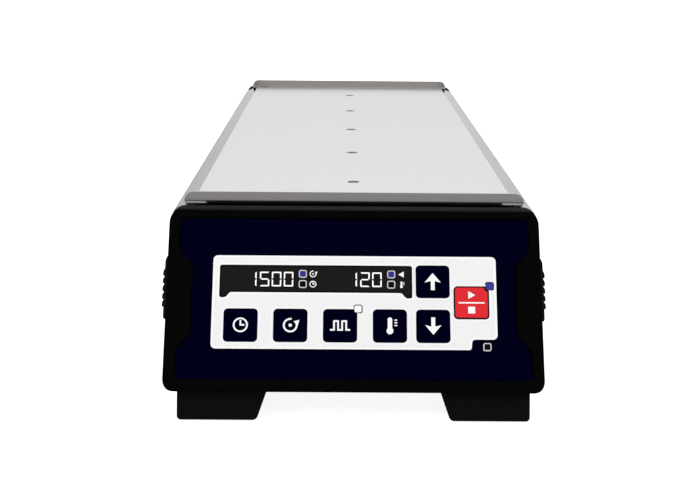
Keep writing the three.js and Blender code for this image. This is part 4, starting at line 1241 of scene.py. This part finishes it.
def controlKey(node):
    low, high = faceBox(node)
    corner, other = keyBox(node)
    piece = roundedFlat("cap", corner, other, keyCap["radius"], keyCap["flange"])
    rise(piece, low.z, low.z + keyCap["flangeThickness"])
    pick(piece, "faces", lambda f: f.normal.z > 0.9)
    bpy.ops.mesh.inset(thickness=keyCap["flange"])
    extrude((0, 0, high.z - low.z - keyCap["flangeThickness"]))
    roundEdges(piece, ends(lambda c: c.z > high.z - tiny), keyCap["edge"], 3)
    if node in keyLamps:
        notch = roundedFlat("tool", *faceBox(keyLamps[node]), lampWindow["radius"], keyCap["lampRoom"])
        cut(piece, rise(notch, low.z - past, high.z + past))
    red = node == "key_start_stop"
    body = node + "_body"
    x, s = (corner.x + other.x) / 2, (corner.y + other.y) / 2
    if red:
        pick(piece, "faces", lambda f: f.normal.z > 0.98 and f.calc_area() > keyCap["faceArea"])
        bpy.ops.mesh.inset(thickness=keyCap["outline"])
        paint(piece, 1, lambda f: f.area < keyCap["faceArea"])
    finishPiece(piece, ["red" if red else "navy", "black"], [node], body,
                facePlace).name = node + "_cap"
    sign, *drawing = keySigns[node]
    printInk(node + "_sign", sign(x, s, *drawing), high.z, body)


for node in keyNodes:
    controlKey(node)
print("keys made")


# Lamps: small windows, some lit, with a printed ring

lampLooks = {  # middle, ring, width of the ring
    "lamp_speed": ("smokedLamp", "greyPrint", "ring"),
    "lamp_minutes": ("black", "greyPrint", "ring"),
    "lamp_set": ("smokedLamp", "greyPrint", "ring"),
    "lamp_actual": ("black", "greyPrint", "ring"),
    "lamp_pulse": ("brightWhite", "case", "thinRing"),
    "lamp_run": ("blueLamp", "case", "thinRing"),
    "lamp_hot": ("black", "greyPrint", "ring"),
}


def lampWindowPiece(node):
    low, high = faceBox(node)
    middle, ring, width = lampLooks[node]
    sink = lampWindow["sink"]
    piece = rise(roundedFlat("lamp", low, high, lampWindow["radius"]), low.z, high.z)
    pick(piece, "faces", lambda f: f.normal.z > 0.9)
    bpy.ops.mesh.inset(thickness=lampWindow[width])
    bpy.ops.transform.translate(value=(0, 0, -sink))
    paint(piece, 1, lambda f: f.normal.z > 0.9 and f.center.z < high.z - sink / 2
          and f.area > lampWindow["leastArea"])
    finishPiece(piece, [ring, middle], [node], place=facePlace).name = node + "_window"


lampSign = {"right": 3.4, "size": 3.8, "line": 0.5, "setTip": -1.7, "setHead": (3.0, 3.4)}

for node in lampNodes:
    lampWindowPiece(node)

paneTop = faceBox("display_window")[1].z
for name, sign in (("speed", turnSign), ("minutes", clockSign), ("set", None), ("actual", heatSign)):
    low, high = faceBox("lamp_" + name)
    x, s = high.x + lampSign["right"], (low.y + high.y) / 2
    parts = (sign(x, s, lampSign["size"], lampSign["line"]) if sign else
             [inkHead((x + lampSign["setTip"], s), 180, *lampSign["setHead"])])
    printInk(f"lamp_sign_{name}", parts, paneTop, "housing")
print("lamps made")


# Grips: ribbed rubber blocks on the sides of the console

grip = {
    "skin": 1.8,  # how far the smooth part stands out from the body
    "lip": 0.1,
    "shoulder": (0.4, 0.75),  # of the slope's height and of the skin
    "valley": 1.75,
    "crest": 2.7,
    "topDrop": 1.2,
    "topSlope": 2.3,
    "bottomSlope": 1.4,
    "ribs": 5,
    "pitch": 3.76,
    "firstRib": 10.7,  # lower edge of the first rib below the top
    "ramp": 2.1,
    "crestHeight": 1.8,
    "step": 0.25,
    "behindFace": 1.2,
    "edge": 0.15,
}


def sideGrip(side):
    # saw-toothed ribs: each one slopes out, runs straight and steps back
    node = "left_grip" if side < 0 else "right_grip"
    low, high = boxOf(node)
    bottom, top = low.z, high.z - grip["topDrop"]
    skin, (part, rising) = grip["skin"], grip["shoulder"]
    slope = grip["topSlope"]
    rows = [(top, grip["lip"]), (top - slope * part, skin * rising), (top - slope, skin)]
    for index in range(grip["ribs"]):
        heel = high.z - grip["firstRib"] - index * grip["pitch"]
        crest = heel + grip["crestHeight"]
        if not index:
            rows.append((crest + grip["ramp"], skin))
        last = index == grip["ribs"] - 1
        rows += [(crest, grip["crest"]), (heel, grip["crest"]),
                 (heel - grip["step"], skin if last else grip["valley"])]
    rows += [(bottom + grip["bottomSlope"], skin), (bottom + grip["bottomSlope"] * part, skin * rising),
             (bottom, grip["lip"])]
    inner, outer = side * half, side * (half + 1)
    piece = addBox(node + "_rubber", (min(inner, outer), low.y, bottom), (max(inner, outer), high.y, top))
    for level, out in rows[1:-1]:
        slicePiece(piece, (0, 0, level), (0, 0, 1))
    for level, out in rows:
        shift(piece, "verts", lambda v: near(v.co.z, level) and abs(v.co.x) > half + tiny,
              (side * (out - 1), 0, 0))
    front = Vector((0, noseY + grip["behindFace"], bodyBottom + console["noseHeight"]))
    slicePiece(piece, front, faceNormal, clear=True)
    bevelSharp(piece, grip["edge"], 2, 30)
    return finishPiece(piece, ["rubber"], [node])


for side in (-1, 1):
    sideGrip(side)
print("grips made")


# Feet and pads

foot = {"slant": 5.9, "toe": 4.0, "outset": 0.8, "inset": 1.0, "radius": 2.0, "edge": 0.6, "padRecess": 2.3}
pad = {"radius": 3.0, "edge": 0.5, "rim": 2.0, "slope": 0.8, "hollow": 0.5}


def footAndPad(corner):
    low, high = boxOf(corner + "_foot")
    padLow, padHigh = boxOf(corner + "_pad")
    outward = -1 if "left" in corner else 1
    toe = -1 if "front" in corner else 1
    inner = low.x if outward > 0 else high.x
    middle = (low.y + high.y) / 2
    high.z -= console["drop"]
    piece = addBox(corner + "_block", low, high)
    shift(piece, "verts", lambda v: not near(v.co.x, inner), (outward * foot["outset"], 0, 0))
    shift(piece, "verts", lambda v: (v.co.y - middle) * toe > 0 and v.co.z < low.z + tiny,
          (0, toe * foot["toe"], 0))
    shift(piece, "verts", lambda v: near(v.co.x, inner), (-outward * foot["inset"], 0, 0))
    shift(piece, "verts", lambda v: (v.co.x - inner) * outward < 0 and v.co.z < low.z + tiny,
          (outward * foot["slant"], 0, 0))
    roundEdges(piece, lambda e: runsAlong(e, "y") and both(e, lambda c: c.z < low.z + tiny),
               foot["radius"], 5)
    roundEdges(piece, lambda e: e.calc_face_angle() > 0.9 and not both(e, lambda c: c.z > high.z - tiny),
               foot["edge"], 3)
    cut(piece, rise(roundedFlat("tool", padLow, padHigh, pad["radius"], gap), low.z - past,
                    low.z + foot["padRecess"]))
    finishPiece(piece, ["foot"], [corner + "_foot"])
    sole = rise(roundedFlat(corner + "_rubber_pad", padLow, padHigh, pad["radius"]), padLow.z, padHigh.z)
    roundEdges(sole, ends(lambda c: c.z < padLow.z + tiny), pad["edge"], 3)
    pick(sole, "faces", lambda f: f.normal.z < -0.99)
    bpy.ops.mesh.inset(thickness=pad["rim"])
    bpy.ops.mesh.inset(thickness=pad["slope"])
    bpy.ops.transform.translate(value=(0, 0, pad["hollow"]))
    finishPiece(sole, ["rubber"], [corner + "_pad"])


for corner in ("front_left", "front_right", "rear_left", "rear_right"):
    footAndPad(corner)
print("feet made")


# Cover screws: button heads with a hex socket

screw = {"head": 5.8, "headHeight": 1.8, "shank": 3.0, "socket": 2.6, "socketDepth": 1.1, "round": 1.1}


def coverScrew(index):
    low, high = boxOf(f"cover_screw_{index}")
    side = 1 if high.x > 0 else -1
    y, z = (low.y + high.y) / 2, (low.z + high.z) / 2
    outer, inner = (high.x, low.x) if side > 0 else (low.x, high.x)
    seat = outer - side * screw["headHeight"]
    piece = addRod("screw", screw["head"] / 2, (seat, y, z), (outer, y, z), 40)
    roundEdges(piece, ends(lambda c: near(c.x, outer)), screw["round"], 5)
    pick(piece, "faces", lambda f: f.normal.x * side < -0.9)
    bpy.ops.mesh.inset(thickness=(screw["head"] - screw["shank"]) / 2)
    extrude((inner - seat, 0, 0))
    cut(piece, addRod("tool", screw["socket"] / 2, (outer - side * screw["socketDepth"], y, z),
                      (outer + side * past, y, z), 6))
    return finishPiece(piece, ["screw"], [f"cover_screw_{index}"])


for index in range(1, 5):
    coverScrew(index).name = f"button_screw_{index}"
print("screws made")


# Mains module: inlet with its pins, fuse drawer and rocker

module = {
    "flangeThickness": 2.5,
    "flangeRadius": 3.0,
    "housing": (27.0, 56.0),
    "socket": (24.0, 16.0),
    "socketDepth": 18.0,
    "socketCorner": 4.0,
    "socketDrop": 17.0,
    "pin": (2.0, 4.0),
    "pinLength": 11.0,
    "pinSpacing": 7.0,
    "pinStagger": 2.0,
    "clearance": 0.4,
    "rockerRadius": 9.6,
    "rockerLift": 16.0,
    "rockerSlot": 12.0,
    "rockerWidth": 16.0,
    "rockerTilt": 8.0,
    "pivotDepth": 3.0,
    "rockerDepth": 5.0,  # behind the pivot
    "rockerTail": 0.55,  # its height there against the front
    "rockerEdge": 0.5,
    "flangeEdge": 0.6,
    "housingFront": 1.2,  # behind the face
    "socketEdge": 0.8,
    "pinTip": 0.6,
}


def mainsModule():
    low, high = boxOf("power_inlet")
    drawerLow, drawerHigh = boxOf("fuse_drawer")
    x, z, face = (low.x + high.x) / 2, (low.z + high.z) / 2, high.y
    flange = addBox("inlet", (low.x, face - module["flangeThickness"], low.z), high)
    roundEdges(flange, lambda e: runsAlong(e, "y"), module["flangeRadius"], 6)
    roundEdges(flange, ends(lambda c: c.y > face - tiny), module["flangeEdge"], 3)
    cut(flange, addBar("tool", (x, z), module["housing"], low.y, face - module["housingFront"]), "UNION")
    socketZ, back = z - module["socketDrop"], face - module["socketDepth"]
    socket = addBar("tool", (x, socketZ), module["socket"], back, face + past)
    roundEdges(socket, lambda e: runsAlong(e, "y") and both(e, lambda c: c.z > socketZ),
               module["socketCorner"], 1)
    roundEdges(socket, lambda e: runsAlong(e, "y"), module["socketEdge"], 3)
    cut(flange, socket)
    spare = module["clearance"]
    cut(flange, addBox("tool", (drawerLow.x - spare, drawerLow.y - spare, drawerLow.z - spare),
                       (drawerHigh.x + spare, face + past, drawerHigh.z + spare)))
    slot = (module["rockerWidth"] + 2 * spare, 2 * (module["rockerRadius"] + spare))
    cut(flange, addBar("tool", (x, z + module["rockerLift"]), slot, face - module["rockerSlot"], face + past))
    finishPiece(flange, ["nylon"], ["power_inlet"]).name = "mains_inlet"
    pins = []
    for step in (-1, 0, 1):
        middle = (x + step * module["pinSpacing"],
                  socketZ + (-module["pinStagger"] if step else module["pinStagger"]))
        pin = addBar("pin", middle, module["pin"], back - gap, back + module["pinLength"])
        roundEdges(pin, ends(lambda c: c.y > back + 1), module["pinTip"], 3)
        pins.append(pin)
    finishPiece(joined("inlet_pins", pins), ["nickel"])


drawer = {"wall": 2.4, "grip": 1.4, "edge": 0.35}


def fuseDrawer():
    low, high = boxOf("fuse_drawer")
    face = boxOf("power_inlet")[1].y
    wall = Vector((1, 1, 1)) * drawer["wall"]
    piece = addBox("drawer", low, high)
    cut(piece, addBox("tool", low + wall, (high.x - wall.x, face - wall.y, high.z + past)))
    cut(piece, addBox("tool", ((low.x * 3 + high.x) / 4, face, high.z - drawer["grip"]),
                      ((low.x + high.x * 3) / 4, high.y + past, high.z + past)))
    bevelSharp(piece, drawer["edge"], 3)
    return finishPiece(piece, ["nylon"], ["fuse_drawer"], "fuse_drawer_body")


def powerRocker():
    low, high = boxOf("power_inlet")
    x, face = (low.x + high.x) / 2, high.y
    y, z = face - module["pivotDepth"], (low.z + high.z) / 2 + module["rockerLift"]
    arm = module["rockerRadius"]
    fall = arm * math.tan(math.radians(module["rockerTilt"]))
    piece = addBar("rocker", (x, z), (module["rockerWidth"], 2 * (arm - fall)), y, face)
    slicePiece(piece, (0, 0, z), (0, 0, 1))
    shift(piece, "verts", lambda v: v.co.y > face - tiny and near(v.co.z, z), (0, -fall, 0))
    for way in (-1, 1):
        shift(piece, "verts", lambda v: v.co.y > face - tiny and (v.co.z - z) * way > 1, (0, 0, -way * fall))
    pull(piece, "faces", lambda f: f.normal.y < -0.9, (0, -module["rockerDepth"], 0))
    bpy.ops.transform.resize(value=(1, 1, module["rockerTail"]), center_override=(x, y, z))
    pick(piece, "faces", everything)
    bpy.ops.mesh.remove_doubles(threshold=0.001)
    bevelSharp(piece, module["rockerEdge"], 3, 25)
    pivot = Vector((x, y, z))
    tilt = (Matrix.Translation(pivot) @ Matrix.Rotation(math.radians(-module["rockerTilt"]), 4, "X")
            @ Matrix.Translation(-pivot))
    return finishPiece(piece, ["nylon"], ["power_rocker"], "rocker_body", tilt)


mainsModule()
fuseDrawer().name = "fuse_tray"
powerRocker().name = "rocker_cap"
print("mains module made")


# Pieces inside keep their CAD shape and get their finish

insideFinishes = {
    "heater_mat": "silicone",
    "insulation_board": "mineral",
    "temperature_sensor": "zinc",
    "motor_tray": "zinc",
    "power_supply": "zinc",
    "display_module": "case",
    "control_board": "board",
}
for index in range(1, 6):
    insideFinishes[f"stir_motor_{index}"] = "zinc"
    insideFinishes[f"magnet_carrier_{index}"] = "aluminium"
    insideFinishes[f"drive_magnet_{index}"] = "nickel"
for node, look in insideFinishes.items():
    mesh = frame["nodes"][node].data
    mesh.materials.clear()
    mesh.materials.append(finishes[look])
print("inner pieces finished:", len(insideFinishes))

bpy.context.scene.view_settings.view_transform = "Standard"
